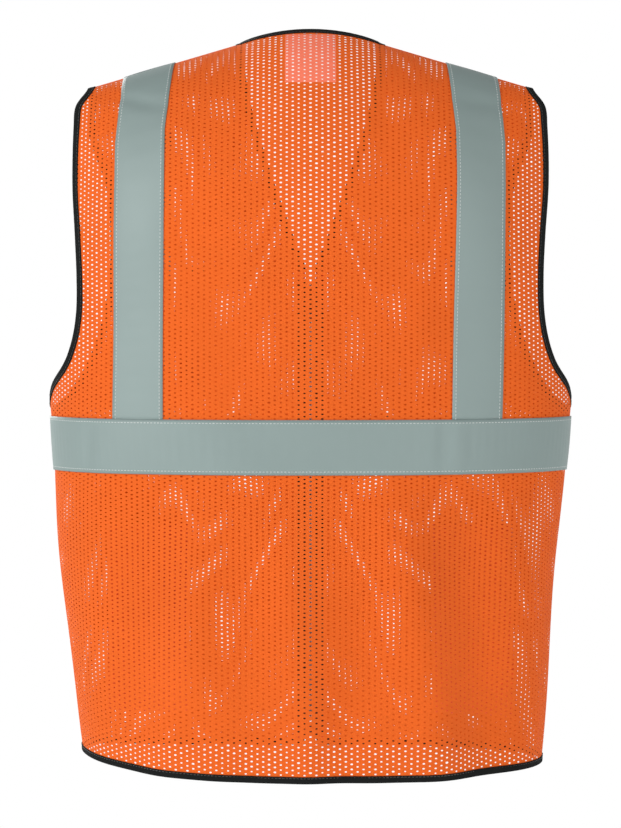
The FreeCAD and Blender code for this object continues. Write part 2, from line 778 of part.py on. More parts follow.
add_feature(tab, "Pad", "tab_bar", bar, f"2 * {D}tab_half", symmetric=True)

# Retainer box: a block on the right tape's foot with a socket for the left side's pin.
block_shape = doc.addObject("Part::Box", "retainer_block")
block_shape.setExpression("Length", f"2 * {D}box_half")
block_shape.setExpression("Width", f"{D}box_thickness")
block_shape.setExpression("Height", f"{D}box_height")
block_shape.setExpression("Placement.Base.x", f"-{D}box_half")
block_shape.setExpression("Placement.Base.y", f"{COIL_BACK} - {D}coil_play - {D}box_thickness")
block_shape.setExpression("Placement.Base.z", ZIP_FOOT)
socket = doc.addObject("Part::Cylinder", "retainer_socket")
socket.setExpression("Radius", f"{D}pin_radius + 0.2")
socket.setExpression("Height", f"{D}box_height + 1")
for axis, value in (("x", f"{D}coil_gap + {D}coil_width / 2"), ("y", f"{COIL_BACK} - {D}coil_height / 2"),
                    ("z", f"{ZIP_FOOT} + 1")):
    socket.setExpression(f"Placement.Base.{axis}", value)
retainer = doc.addObject("Part::Cut", "zipper_retainer_box")
retainer.Label = "zipper_retainer_box"
retainer.Base = block_shape
retainer.Tool = socket

# ---------------------------------------------------------------------------------------------------------
# Check and write the pieces
# ---------------------------------------------------------------------------------------------------------

doc.recompute()
for item in doc.Objects:
    if "Invalid" in item.State or "Error" in item.State:
        raise RuntimeError(f"{item.Label} is {item.State}")

helpers = {"retainer_block", "retainer_socket"}
pieces = [item for item in doc.Objects
          if item.TypeId.startswith(("Part::", "PartDesign::Body")) and item.Name not in helpers]
for piece in pieces:
    if piece.Shape.isNull() or not piece.Shape.isValid() or piece.Shape.Volume <= 0:
        raise RuntimeError(f"{piece.Label} has no valid solid")

os.makedirs("parts", exist_ok=True)
for piece in pieces:
    piece.Shape.exportStep(f"parts/{piece.Label}.step")
print(len(pieces), "pieces written")
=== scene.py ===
"""High visibility vest: an orange mesh vest with silver tapes, seen from behind on a white ground.

Row frame, in metres: +Z up, the wearer faces -Y, the wearer's left is +X. The millimetre sizes below are
turned into metres by MM.
"""

import math

import bmesh
import bpy
import numpy as np
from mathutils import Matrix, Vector


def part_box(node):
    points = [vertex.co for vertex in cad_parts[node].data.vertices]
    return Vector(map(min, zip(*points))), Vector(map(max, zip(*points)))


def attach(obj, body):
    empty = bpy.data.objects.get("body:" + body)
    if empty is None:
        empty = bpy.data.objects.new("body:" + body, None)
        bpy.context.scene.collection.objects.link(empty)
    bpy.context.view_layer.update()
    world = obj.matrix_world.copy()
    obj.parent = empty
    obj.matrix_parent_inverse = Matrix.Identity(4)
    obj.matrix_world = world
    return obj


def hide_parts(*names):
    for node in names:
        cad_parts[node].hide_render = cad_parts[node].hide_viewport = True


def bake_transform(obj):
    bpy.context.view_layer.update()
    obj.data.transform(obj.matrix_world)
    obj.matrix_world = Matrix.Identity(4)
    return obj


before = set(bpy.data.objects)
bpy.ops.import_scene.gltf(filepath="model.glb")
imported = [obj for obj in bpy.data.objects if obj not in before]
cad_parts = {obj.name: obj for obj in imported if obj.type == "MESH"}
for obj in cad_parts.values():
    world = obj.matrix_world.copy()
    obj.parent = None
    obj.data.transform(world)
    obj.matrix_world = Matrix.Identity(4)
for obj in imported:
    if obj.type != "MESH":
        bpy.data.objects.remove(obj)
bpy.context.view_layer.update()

MM = 0.001
RNG = np.random.default_rng(7)

# ---- Sizes, in millimetres, read from the frame where it has them ----


def low(node):
    return np.array(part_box(node)[0]) / MM


def high(node):
    return np.array(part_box(node)[1]) / MM


# heights below the shoulder line where it meets the neck
HEM = round(low("back_panel")[2], 1)
ZIP_TOP = -215.0
UNDERARM = -349.0
# half widths, and depths from the middle to the back and to the front
CHEST_HALF = 250.0
HEM_HALF = 216.0
TOP_HALF = 238.0
BACK_DEPTH_HEM = 130.0
BACK_DEPTH_TOP = 116.0
FRONT_DEPTH = 114.0
# how far below the shoulder line the cloth begins to round over to it
BACK_ROUND = 170.0
FRONT_ROUND = 190.0
# power of the body's rounded level section: 2 is an ellipse, more is squarer
GIRTH_POWER = 2.4
NECK_HALF = 66.0
NECK_RISE = 9.5
CROWN_RISE = 21.0
SHOULDER_HALF = 211.0
SHOULDER_DROP = 42.6
SEAM = math.radians(100)
WAIST_TOP = high("waist_tape_back")[2]
TAPE_WIDTH = 50.8
WAIST_BOTTOM = WAIST_TOP - TAPE_WIDTH
TAPE_INNER = 135.0
TAPE_MIDDLE = TAPE_INNER + TAPE_WIDTH / 2
TAPE_LEAN = 8.0
# the fronts' own edges, either side of the zip
PLACKET = 6.0
# the wearer's sides, and the sign of x there
SIDES = {"left": 1.0, "right": -1.0}

# ---- Surface of the vest ----
# Angles run round from the middle of the back; z is height. Arrays in, arrays out.


def ramp(value, start, end):
    return np.clip((value - start) / (end - start), 0.0, 1.0)


def smooth(share):
    return share * share * (3 - 2 * share)


def mix(start, end, share):
    return start + (end - start) * share


def on_side(points, side):
    """Points of the wearer's left side, or their mirror image on the right."""
    return points * np.array([SIDES[side], 1.0, 1.0])


def half_width(z):
    lower = mix(HEM_HALF, CHEST_HALF, ramp(z, HEM, UNDERARM))
    upper = mix(CHEST_HALF, TOP_HALF, ramp(z, UNDERARM, 0.0))
    return np.where(z < UNDERARM, lower, upper)


def depth(z, behind):
    return np.where(behind, mix(BACK_DEPTH_TOP, BACK_DEPTH_HEM, ramp(-z, 0.0, -HEM)), FRONT_DEPTH)


def ridge(x):
    """Height of the shoulder line, carried on across the neck."""
    x = np.abs(x)
    crown = CROWN_RISE * (1 - (x / NECK_HALF) ** 2)
    slope = -SHOULDER_DROP * (x - NECK_HALF) / (SHOULDER_HALF - NECK_HALF)
    return np.where(x < NECK_HALF, crown, slope)


def bend_squared(x, z, behind):
    below = (ridge(x) - z) / np.where(behind, BACK_ROUND, FRONT_ROUND)
    return np.where(below < 1, 1 - (1 - below) ** 2, 1.0)


def across(angle):
    return np.sign(np.sin(angle)) * np.abs(np.sin(angle)) ** (2 / GIRTH_POWER)


def angle_at(x, z, front):
    share = np.clip(np.abs(x) / half_width(z), 0.0, 1.0)
    angle = np.arcsin(share ** (GIRTH_POWER / 2))
    return np.where(front, math.pi - angle, angle) * np.where(x < 0, -1.0, 1.0)


def on_surface(angle, z):
    angle, z = np.broadcast_arrays(np.asarray(angle, float), np.asarray(z, float))
    x = half_width(z) * across(angle)
    behind = np.cos(angle) > 0
    bend = np.sqrt(np.maximum(0.0, bend_squared(x, z, behind)))
    return np.stack([x, depth(z, behind) * np.cos(angle) * bend, z], axis=-1)


def level_set(p):
    x, y, z = p[..., 0], p[..., 1], p[..., 2]
    behind = y > 0
    share = (np.abs(x) / half_width(z)) ** GIRTH_POWER
    return (y / depth(z, behind)) ** 2 - bend_squared(x, z, behind) * (1 - share)


def gradient(p):
    step = 0.05
    shifts = step * np.eye(3)
    return np.stack([(level_set(p + shift) - level_set(p - shift)) / (2 * step) for shift in shifts], axis=-1)


def unit(v):
    return v / np.maximum(np.linalg.norm(v, axis=-1, keepdims=True), 1e-9)


def outward(p):
    return unit(gradient(p))


def projected(p):
    for _ in range(3):
        slope = gradient(p)
        p = p - slope * (level_set(p) / np.sum(slope * slope, axis=-1))[..., None]
    return p


# ---- Drape: soft folds, as a distance out from the smooth surface ----


def fold_line(p, top, bottom, width, height, behind=True):
    """A ridge, or with a negative height a hollow, along a line from top to bottom, each (x, z) in mm."""
    share = ramp(p[..., 2], bottom[1], top[1])
    centre = mix(bottom[0], top[0], share)
    run = abs(top[1] - bottom[1])
    ends = smooth(ramp(p[..., 2], bottom[1] - 0.3 * run, bottom[1] + 0.15 * run))
    ends = ends * smooth(ramp(-p[..., 2], -top[1] - 0.15 * run, -top[1] + 0.35 * run))
    across_line = np.exp(-((p[..., 0] - centre) / width) ** 2)
    on_side = p[..., 1] > 0 if behind else p[..., 1] < 0
    return np.where(on_side, height * across_line * ends, 0.0)


def short_fold(p, x_middle, z_middle, half_x, half_z, height, slope=0.0):
    """A short soft fold on the back, fading out half_x and half_z from its middle, in mm."""
    x = p[..., 0] - x_middle
    z = p[..., 2] - z_middle - slope * x
    return np.where(p[..., 1] > 0, height * np.exp(-(x / half_x) ** 2 - (z / half_z) ** 2), 0.0)


def tape_folds(p):
    """Creases where the tapes bend: across each shoulder tape near its top, upright in the waist tape."""
    waist_middle = WAIST_TOP - TAPE_WIDTH / 2
    out = short_fold(p, TAPE_MIDDLE, -58.0, TAPE_WIDTH / 2, 6.0, -2.2, 0.18)
    out += short_fold(p, -TAPE_MIDDLE, -60.0, TAPE_WIDTH / 2, 6.0, -1.8, 0.14)
    out += short_fold(p, 206.0, waist_middle, 6.0, TAPE_WIDTH / 2, -2.0)
    out += short_fold(p, -122.0, waist_middle, 6.0, TAPE_WIDTH / 2, -1.6)
    out += short_fold(p, -136.0, waist_middle, 7.0, TAPE_WIDTH / 2, 1.2)
    return out


# each fold's top (x, z), bottom (x, z), width and height
BACK_FOLDS = [
    ((-78, -415), (-118, HEM), 28, 9.5),
    ((-150, -420), (-168, HEM), 30, -7.0),
    ((-60, -470), (-30, HEM), 22, -4.5),
    ((84, -430), (138, HEM), 24, 6.0),
    ((50, -500), (62, HEM), 22, -4.0),
    ((20, -470), (2, HEM), 20, 6.0),
    ((195, -400), (196, HEM), 24, 3.5),
    ((60, -180), (30, -350), 20, 1.8),
    ((-90, -120), (-105, -350), 16, 1.6),
    ((0, -60), (8, -350), 40, 1.2),
]
FRONT_FOLDS = [
    ((70, -420), (100, HEM), 24, 3.0),
    ((-80, -430), (-110, HEM), 26, 3.5),
    ((150, -300), (160, HEM), 22, -3.0),
    ((-165, -300), (-150, HEM), 20, 2.5),
]


def drape(p):
    """How far the cloth stands off the smooth surface, in mm."""
    x, y, z = p[..., 0], p[..., 1], p[..., 2]
    out = np.zeros_like(x)
    for fold in BACK_FOLDS:
        out += fold_line(p, *fold)
    for fold in FRONT_FOLDS:
        out += fold_line(p, *fold, behind=False)
    # quiet near the zip, the shoulder line and the neck
    quiet = np.where(y < 0, smooth(ramp(np.abs(x), 18.0, 55.0)), 1.0)
    quiet = quiet * smooth(ramp(ridge(x) - z, 10.0, 70.0))
    # slow waves of the whole cloth
    waves = 0.9 * np.sin(x / 31.0 + z / 83.0 + 1.0) * np.sin(z / 57.0 + x / 140.0)
    waves += 0.5 * np.sin(x / 17.0 - z / 41.0)
    side_swell = 5.0 * np.exp(-((z + 500.0) / 90.0) ** 2) * smooth(ramp(x, 150.0, 240.0))
    lower = smooth(ramp(-z, 480.0, -HEM))
    side_swell += 2.0 * lower * smooth(ramp(x, 150.0, 215.0)) + 6.0 * lower * smooth(ramp(-x, 150.0, 215.0))
    return (out + waves) * quiet + side_swell + tape_folds(p)


WAIST_RISE = 4.2
HEM_RISE_LEFT = 14.0
HEM_RISE_RIGHT = 3.0
WAIST_RISE_START = -230.0
HEM_RISE_START = -560.0


def cloth_rise(p):
    """The waist rises at the back, and the hem toward the sides, more on the wearer's left. A shift."""
    x, y, z = p[..., 0], p[..., 1], p[..., 2]
    side = ramp(np.abs(x), 0.0, HEM_HALF)
    behind = smooth(ramp(y, -FRONT_DEPTH, 40.0))
    at_waist = WAIST_RISE * behind * smooth(ramp(-z, -WAIST_RISE_START, -WAIST_TOP))
    at_hem = np.where(x > 0, HEM_RISE_LEFT, HEM_RISE_RIGHT) * side ** 3
    below = smooth(ramp(-z, -HEM_RISE_START, -HEM))
    shift = np.zeros_like(p)
    shift[..., 2] = at_waist * (1 - below) + at_hem * below
    return shift


def dressed(p, offset):
    """Points of the base surface, moved out by the drape and an offset, in metres."""
    return (p + outward(p) * (drape(p) + offset)[..., None] + cloth_rise(p)) * MM


# ---- Outlines ----

ARMHOLE_HEIGHT = -SHOULDER_DROP - UNDERARM
SHOULDER_ANGLE = float(angle_at(SHOULDER_HALF, -SHOULDER_DROP, False))
# share of the armhole's height, and the angle of its edge in degrees
ARMHOLE_BACK = [
    (0, 100), (0.06, 81), (0.13, 67.6), (0.2, 62.2), (0.3, 59.6),
    (0.42, 60), (0.55, 62), (0.7, 64.8), (0.88, 65.5), (0.94, 65.2),
]
ARMHOLE_FRONT = [(0, 100), (0.05, 113), (0.13, 121), (0.27, 127.5), (0.46, 130.5), (0.7, 128.5), (0.88, 120)]


def smooth_table(points, value):
    """Cubic curve through (value, result) pairs, flat at both ends."""
    xs = np.array([point[0] for point in points], float)
    ys = np.array([point[1] for point in points], float)
    slopes = np.zeros(len(xs))
    slopes[1:-1] = (ys[2:] - ys[:-2]) / (xs[2:] - xs[:-2])
    value = np.clip(value, xs[0], xs[-1])
    k = np.clip(np.searchsorted(xs, value, side="right") - 1, 0, len(xs) - 2)
    span = xs[k + 1] - xs[k]
    share = (value - xs[k]) / span
    return (
        ys[k] * (1 + 2 * share) * (1 - share) ** 2
        + slopes[k] * span * share * (1 - share) ** 2
        + ys[k + 1] * share ** 2 * (3 - 2 * share)
        - slopes[k + 1] * span * share ** 2 * (1 - share)
    )


def armhole_angle(z, front):
    table = ARMHOLE_FRONT if front else ARMHOLE_BACK
    top = math.degrees(math.pi - SHOULDER_ANGLE if front else SHOULDER_ANGLE)
    points = [(math.sqrt(share), degrees) for share, degrees in table] + [(1.0, top)]
    return np.radians(smooth_table(points, np.sqrt(ramp(z, UNDERARM, -SHOULDER_DROP))))


def edge_angle(z, front):
    return np.where(z < UNDERARM, SEAM, armhole_angle(z, front))


def neckline(z):
    points = [(ZIP_TOP, PLACKET), (0.87 * ZIP_TOP, 0.24 * NECK_HALF), (0.56 * ZIP_TOP, 0.6 * NECK_HALF),
              (0.25 * ZIP_TOP, 0.9 * NECK_HALF), (0.0, NECK_HALF)]
    return smooth_table(points, z)


def back_neck(x):
    return NECK_RISE * (1 - (x / NECK_HALF) ** 2)


# ---- Pattern space: s runs round the body along the cloth, c counts rows of holes up from the hem ----

COLUMN_PITCH = 5.45
# height, and the pitch of the rows there
ROW_PITCH = [
    (HEM, 4.5), (-640.0, 4.7), (-590.0, 4.35), (-520.0, 3.85), (-430.0, 3.85), (-340.0, 4.35), (0.0, 4.3),
]
USUAL_PITCH = 4.35
HOLE_HALF_WIDTH = 1.15
HOLE_HALF_HEIGHT = 0.64
HOLE_SHOULDER = 0.55

Z_SAMPLES = np.linspace(HEM, 20.0, 90)
# the table's angles go a little past the side seam, and lie closer together near the middle
LAST_ANGLE = math.radians(103.0)
SAMPLE_POWER = 1.3
ANGLE_SAMPLES = LAST_ANGLE * np.linspace(0, 1, 500) ** SAMPLE_POWER


class Pattern:
    """Turns pattern places into surface points, for the back or for one front (its wearer's-left side)."""

    def __init__(self, front):
        self.front = front
        lengths = []
        for z in Z_SAMPLES:
            x = half_width(z) * across(ANGLE_SAMPLES)
            facing = ANGLE_SAMPLES < math.pi / 2
            behind = ~facing if front else facing
            y = depth(np.full_like(x, z), behind) * np.cos(ANGLE_SAMPLES)
            steps = np.hypot(np.diff(x), np.diff(y))
            lengths.append(np.concatenate([[0.0], np.cumsum(steps)]))
        self.lengths = np.array(lengths)
        self.s_samples = np.arange(0.0, self.lengths.max(), 3.0)
        self.angle_table = np.array([np.interp(self.s_samples, row, ANGLE_SAMPLES) for row in self.lengths])
        rows = [self.column(s) for s in self.s_samples]
        self.c_samples = np.arange(0.0, 200.0, 0.5)
        self.z_table = np.array([np.interp(self.c_samples, c, z) for z, c in rows])
        self.c_ridge = np.array([c[-1] for z, c in rows])

    def column(self, s):
        """Heights up one column, and the count of rows below each."""
        top = 0.0
        for _ in range(8):
            top = float(ridge(self.place(s, top)[0]))
        bend_start = top - (FRONT_ROUND if self.front else BACK_ROUND)
        turn = np.linspace(math.pi / 2, 0.0, 50)
        upper = top - (top - bend_start) * (1 - np.cos(turn))
        z = np.concatenate([np.linspace(HEM, bend_start, 120)[:-1], upper])
        points = on_surface(self.angle(np.full_like(z, s), z), z)
        steps = np.linalg.norm(np.diff(points, axis=0), axis=1)
        pitch = smooth_table(ROW_PITCH, (z[1:] + z[:-1]) / 2)
        return z, np.concatenate([[0.0], np.cumsum(steps / pitch)])

    def place(self, s, z):
        return on_surface(self.angle(np.array([s]), np.array([z])), np.array([z]))[0]

    def angle(self, s, z):
        """Signed angle at a distance round the cloth from the middle, at a height."""
        a = self.look_up(self.angle_table, Z_SAMPLES, self.s_samples, z, np.abs(s))
        a = math.pi - a if self.front else a
        return a * np.where(s < 0, -1.0, 1.0)

    @staticmethod
    def look_up(table, rows, columns, row, column):
        """Value of a table with evenly spaced rows and columns, between its four nearest entries."""
        r = np.clip((row - rows[0]) / (rows[1] - rows[0]), 0, len(rows) - 1.001)
        c = np.clip((column - columns[0]) / (columns[1] - columns[0]), 0, len(columns) - 1.001)
        r0, c0 = r.astype(int), c.astype(int)
        fr, fc = r - r0, c - c0
        low_row = table[r0, c0] * (1 - fc) + table[r0, c0 + 1] * fc
        high_row = table[r0 + 1, c0] * (1 - fc) + table[r0 + 1, c0 + 1] * fc
        return low_row * (1 - fr) + high_row * fr

    def height(self, s, c):
        return self.look_up(self.z_table, self.s_samples, self.c_samples, np.abs(s), c)

    def reach(self, angle, z):
        """Distance round the cloth from the middle to an angle (both positive), at a height."""
        a = math.pi - angle if self.front else angle
        last = len(ANGLE_SAMPLES) - 1
        place = np.clip(a / LAST_ANGLE, 0, 1) ** (1 / SAMPLE_POWER) * last
        return self.look_up(self.lengths, Z_SAMPLES, np.arange(last + 1), z, place)

    def kept(self, s, c):
        """Pulls pattern places back inside the panel's outline."""
        side = 1.0 if self.front else np.where(s < 0, -1.0, 1.0)
        s = np.maximum(s, 0.0) if self.front else np.abs(s)
        for _ in range(2):
            top = np.interp(s, self.s_samples, self.c_ridge)
            z_top = self.height(s, top)
            if not self.front:
                x = np.abs(on_surface(self.angle(s, z_top), z_top)[..., 0])
                neck_drop = ridge(x) - back_neck(x)
                drop = np.where(x < NECK_HALF, self.rows_down(s, top, neck_drop), 0.0)
                top = top - drop
            c = np.clip(c, 0.0, top)
            z = self.height(s, c)
            s = np.minimum(s, self.reach(edge_angle(z, self.front), z))
            if self.front:
                inner = np.where(z < ZIP_TOP, PLACKET, neckline(z))
                s = np.maximum(s, self.reach(angle_at(inner, z, True), z))
        return s * side, c

    def rows_down(self, s, top, drop):
        """Rows between the ridge and a point a given drop below it."""
        goal = self.height(s, top) - drop
        below, above = np.zeros_like(top), top.copy()
        for _ in range(24):
            middle = (below + above) / 2
            under = self.height(s, middle) < goal
            below = np.where(under, middle, below)
            above = np.where(under, above, middle)
        return top - (below + above) / 2

    def base(self, s, c):
        z = self.height(s, c)
        return on_surface(self.angle(s, z), z)


BACK = Pattern(False)
FRONT = Pattern(True)

# ---- Making objects ----


def make_object(name, vertices, faces, material, uv=None, smooth_faces=True):
    """Mesh object from points in metres and lists of their numbers, one list to a face."""
    mesh = bpy.data.meshes.new(name)
    mesh.from_pydata([tuple(v) for v in vertices], [], [tuple(f) for f in faces])
    mesh.validate()
    mesh.update()
    if smooth_faces:
        mesh.polygons.foreach_set("use_smooth", [True] * len(mesh.polygons))
    if uv is not None:
        layer = mesh.uv_layers.new(name="pattern")
        corners = np.empty(len(mesh.loops), dtype=np.int32)
        mesh.loops.foreach_get("vertex_index", corners)
        layer.data.foreach_set("uv", np.asarray(uv, np.float32)[corners].ravel())
    obj = bpy.data.objects.new(name, mesh)
    bpy.context.scene.collection.objects.link(obj)
    obj.data.materials.append(material)
    return obj


# ---- Materials ----


class Shader:
    """A node material with a Principled shader, built up a node at a time."""

    def __init__(self, name, colour, roughness, metallic=0.0, sheen=0.0):
        self.material = bpy.data.materials.new(name)
        self.material.use_nodes = True
        self.tree = self.material.node_tree
        self.main = self.tree.nodes["Principled BSDF"]
        self.output = self.tree.nodes["Material Output"]
        self.colour = colour
        self.give("Base Color", (*colour, 1.0))
        self.give("Roughness", roughness)
        self.give("Metallic", metallic)
        self.give("Sheen Weight", sheen)

    def node(self, kind, inputs=None, **settings):
        made = self.tree.nodes.new("ShaderNode" + kind)
        for key, value in settings.items():
            setattr(made, key, value)
        for key, value in (inputs or {}).items():
            if isinstance(value, bpy.types.NodeSocket):
                self.tree.links.new(value, made.inputs[key])
            else:
                made.inputs[key].default_value = value
        return made

    def link(self, socket, name):
        self.tree.links.new(socket, self.main.inputs[name])

    def give(self, name, value):
        self.main.inputs[name].default_value = value

    def place(self):
        return self.node("TexCoord").outputs["Object"]

    def pattern(self):
        return self.node("UVMap", uv_map="pattern").outputs["UV"]

    def noise(self, scale, detail=3.0):
        made = {"Scale": scale, "Detail": detail, "Vector": self.place()}
        return self.node("TexNoise", made).outputs["Fac"]

    def vary_colour(self, factor, dark, light):
        """Base colour between dark and light shares of the material's own colour."""
        ends = [(*(c * share for c in self.colour), 1.0) for share in (dark, light)]
        mixed = self.mix(factor, *ends)
        self.link(mixed, "Base Color")
        return mixed

    def mix(self, factor, first, second):
        return self.node("Mix", {0: factor, 6: first, 7: second}, data_type="RGBA").outputs[2]

    def vary_roughness(self, factor, smoothest, roughest):
        rough = self.node("MapRange", {"Value": factor, "To Min": smoothest, "To Max": roughest})
        self.link(rough.outputs[0], "Roughness")

    def bump(self, height, strength, distance):
        made = self.node("Bump", {"Height": height, "Strength": strength, "Distance": distance})
        self.link(made.outputs["Normal"], "Normal")

    def wave(self, vector, scale, direction="X", distortion=0.0):
        made = self.node("TexWave", {"Vector": vector, "Scale": scale, "Distortion": distortion},
                         wave_type="BANDS", bands_direction=direction)
        return made.outputs["Fac"]

    def math(self, operation, *values):
        return self.node("Math", dict(enumerate(values)), operation=operation).outputs[0]


# painted light: an orange glow the cloth gives with no lamp, standing in for the fluorescent dye
PAINTED_GLOW = (1.0, 0.10, 0.0, 1.0)
# painted light: paler yarn colour standing in for light from the white label behind the mesh
PAINTED_LABEL_LIGHT = (0.78, 0.185, 0.11, 1.0)


def painted_label_light_mask(shader):
    """1 where the back neck's yarn lies over the label, 0 elsewhere: where the yarn is painted paler,
    standing in for light from the white label behind it.
    """
    start, end = low("neck_label") * MM, high("neck_label") * MM
    middle, half = (start + end) / 2, (end - start) / 2
    place = shader.node("SeparateXYZ", {"Vector": shader.place()}).outputs
    inside_x = shader.math("COMPARE", place[0], middle[0], half[0])
    inside_z = shader.math("COMPARE", place[2], middle[2], half[2])
    behind = shader.math("GREATER_THAN", place[1], 0.0)
    return shader.math("MULTIPLY", shader.math("MULTIPLY", inside_x, inside_z), behind)


def mesh_cloth():
    """Knitted polyester: wales run up the cloth, loops across them, and a little light comes through.

    A little orange is painted on as a glow that shines without any lamp, standing in for the fluorescent
    dye's own orange, and the yarn over the white label is painted paler, standing in for light from the
    label.
    """
    shader = Shader("mesh_cloth", (0.63, 0.104, 0.012), 0.88, sheen=0.06)
    # painted light: the cloth glows a little orange of its own, lit or not
    shader.give("Emission Color", PAINTED_GLOW)
    shader.give("Emission Strength", 0.09)
    shader.give("Sheen Roughness", 0.5)
    shader.give("Sheen Tint", (1.0, 0.45, 0.25, 1.0))
    shader.give("Specular IOR Level", 0.15)
    pattern = shader.pattern()
    wales = shader.wave(pattern, 0.55, "X")
    loops = shader.wave(pattern, 0.9, "Y", distortion=1.2)
    knit = shader.math("ADD", wales, shader.math("MULTIPLY", loops, 0.5))
    shader.bump(knit, 0.35, 0.0003)
    varied = shader.vary_colour(shader.noise(14.0), 0.93, 1.06)
    # painted light: the yarn over the label is painted paler by position
    base = shader.mix(painted_label_light_mask(shader), varied, PAINTED_LABEL_LIGHT)
    shader.link(base, "Base Color")
    glow = shader.node("BsdfTranslucent", {"Color": base})
    blend = shader.node("MixShader", {0: 0.05, 1: shader.main.outputs[0], 2: glow.outputs[0]})
    shader.tree.links.new(blend.outputs[0], shader.output.inputs["Surface"])
    return shader.material


def seam_cloth():
    """Plain orange cloth, for seams, turned edges and pockets."""
    shader = Shader("seam_cloth", (0.80, 0.115, 0.030), 0.85, sheen=0.2)
    shader.give("Specular IOR Level", 0.2)
    shader.vary_colour(shader.noise(40.0), 0.9, 1.05)
    weave = shader.wave(shader.place(), 420.0, "DIAGONAL")
    shader.bump(weave, 0.3, 0.0002)
    return shader.material


def reflective_tape():
    """Glass-bead tape: satin grey with a faint fabric grid pressed into it."""
    shader = Shader("reflective_tape", (0.200, 0.258, 0.248), 0.5, metallic=0.10)
    shader.vary_colour(shader.noise(9.0), 0.94, 1.05)
    grain = shader.noise(1500.0, 2.0)
    shader.vary_roughness(grain, 0.46, 0.62)
    warp = shader.wave(shader.place(), 520.0, "X")
    weft = shader.wave(shader.place(), 520.0, "Z")
    grid = shader.math("ADD", warp, weft)
    shader.bump(shader.math("ADD", grid, grain), 0.12, 0.00015)
    return shader.material


def band_cloth(name, colour, light):
    """Woven polyester band, ribbed across."""
    shader = Shader(name, colour, 0.92)
    shader.give("Specular IOR Level", 0.1)
    shader.vary_colour(shader.noise(60.0), 0.8, light)
    pattern = shader.pattern()
    rib = shader.wave(pattern, 0.55, "X")
    weft = shader.wave(pattern, 0.8, "Y")
    shader.bump(shader.math("ADD", rib, weft), 0.5, 0.0002)
    return shader.material


def thread(name, colour):
    shader = Shader(name, colour, 0.55, sheen=0.2)
    twist = shader.wave(shader.place(), 900.0, "DIAGONAL")
    shader.vary_colour(twist, 0.82, 1.0)
    return shader.material


def plain(name, colour, roughness, metallic=0.0, grain=600.0):
    shader = Shader(name, colour, roughness, metallic)
    speck = shader.noise(grain)
    shader.vary_roughness(speck, roughness * 0.85, roughness * 1.2)
    shader.vary_colour(speck, 0.9, 1.1)
    shader.bump(speck, 0.05, 0.0001)
    return shader.material


MESH_CLOTH = mesh_cloth()
SEAM_CLOTH = seam_cloth()
TAPE = reflective_tape()
BINDING = band_cloth("binding_cloth", (0.008, 0.009, 0.0088), 1.4)
WHITE_THREAD = thread("white_thread", (0.58, 0.62, 0.60))
DARK_THREAD = thread("dark_thread", (0.02, 0.022, 0.021))
LABEL = plain("label_satin", (0.93, 0.93, 0.92), 0.5)
ZIP_CLOTH = band_cloth("zip_cloth", (0.012, 0.013, 0.014), 1.5)
ZIP_NYLON = plain("zip_nylon", (0.02, 0.02, 0.022), 0.38)
ZIP_METAL = plain("zip_enamel", (0.025, 0.025, 0.028), 0.32, 0.6, 900.0)

# ---- Mesh panels: a sheet with a real hole in every cell ----


def lattice(pattern, s_low, s_high):
    """Corners and holes of the diamond cells between two distances round the cloth."""
    first, last = math.floor(s_low / COLUMN_PITCH) - 1, math.ceil(s_high / COLUMN_PITCH) + 1
    rows = int(pattern.c_ridge.max()) + 4
    columns = np.arange(first - 1, last + 2)
    row_index = np.arange(-2, rows)
    column, row = np.meshgrid(columns, row_index, indexing="ij")
    odd = (column % 2) * 0.5
    corner_s = column * COLUMN_PITCH
    corner_c = row + odd + 0.5
    corner_id = np.arange(column.size).reshape(column.shape)
    inner = (slice(1, -1), slice(1, -1))
    hole_s, hole_c = corner_s[inner], (row + odd)[inner]
    is_odd = (column[inner] % 2).astype(int)
    k, j = np.meshgrid(np.arange(1, len(columns) - 1), np.arange(1, len(row_index) - 1), indexing="ij")
    top, bottom = corner_id[k, j], corner_id[k, j - 1]
    right, left = corner_id[k + 1, j - 1 + is_odd], corner_id[k - 1, j - 1 + is_odd]
    return corner_s.ravel(), corner_c.ravel(), hole_s.ravel(), hole_c.ravel(), [
        ids.ravel() for ids in (right, top, left, bottom)
    ]


# how far the front's knit runs off true: a slow and a quick wave, across in mm and along in rows
DRIFT_ACROSS = (2.4, 1.3)
DRIFT_ALONG = (0.55, 0.3)


def drifted(s, c):
    """The knit of the front panels runs a little off true, as cloth cut from a roll does."""
    across_drift = DRIFT_ACROSS[0] * np.sin(c / 13.0 + 0.8) + DRIFT_ACROSS[1] * np.sin(c / 5.1 + s / 60.0)
    along_drift = DRIFT_ALONG[0] * np.sin(s / 21.0 + 0.4) + DRIFT_ALONG[1] * np.sin(s / 9.0 + c / 11.0)
    return s + across_drift * ramp(s, 8.0, 40.0), c + along_drift


# corners of a hole, as shares of its half width and half height
HOLE_CORNERS = [
    (1, 0), (HOLE_SHOULDER, 1), (-HOLE_SHOULDER, 1), (-1, 0), (-HOLE_SHOULDER, -1), (HOLE_SHOULDER, -1),
]
SIZE_SPREAD = 0.10


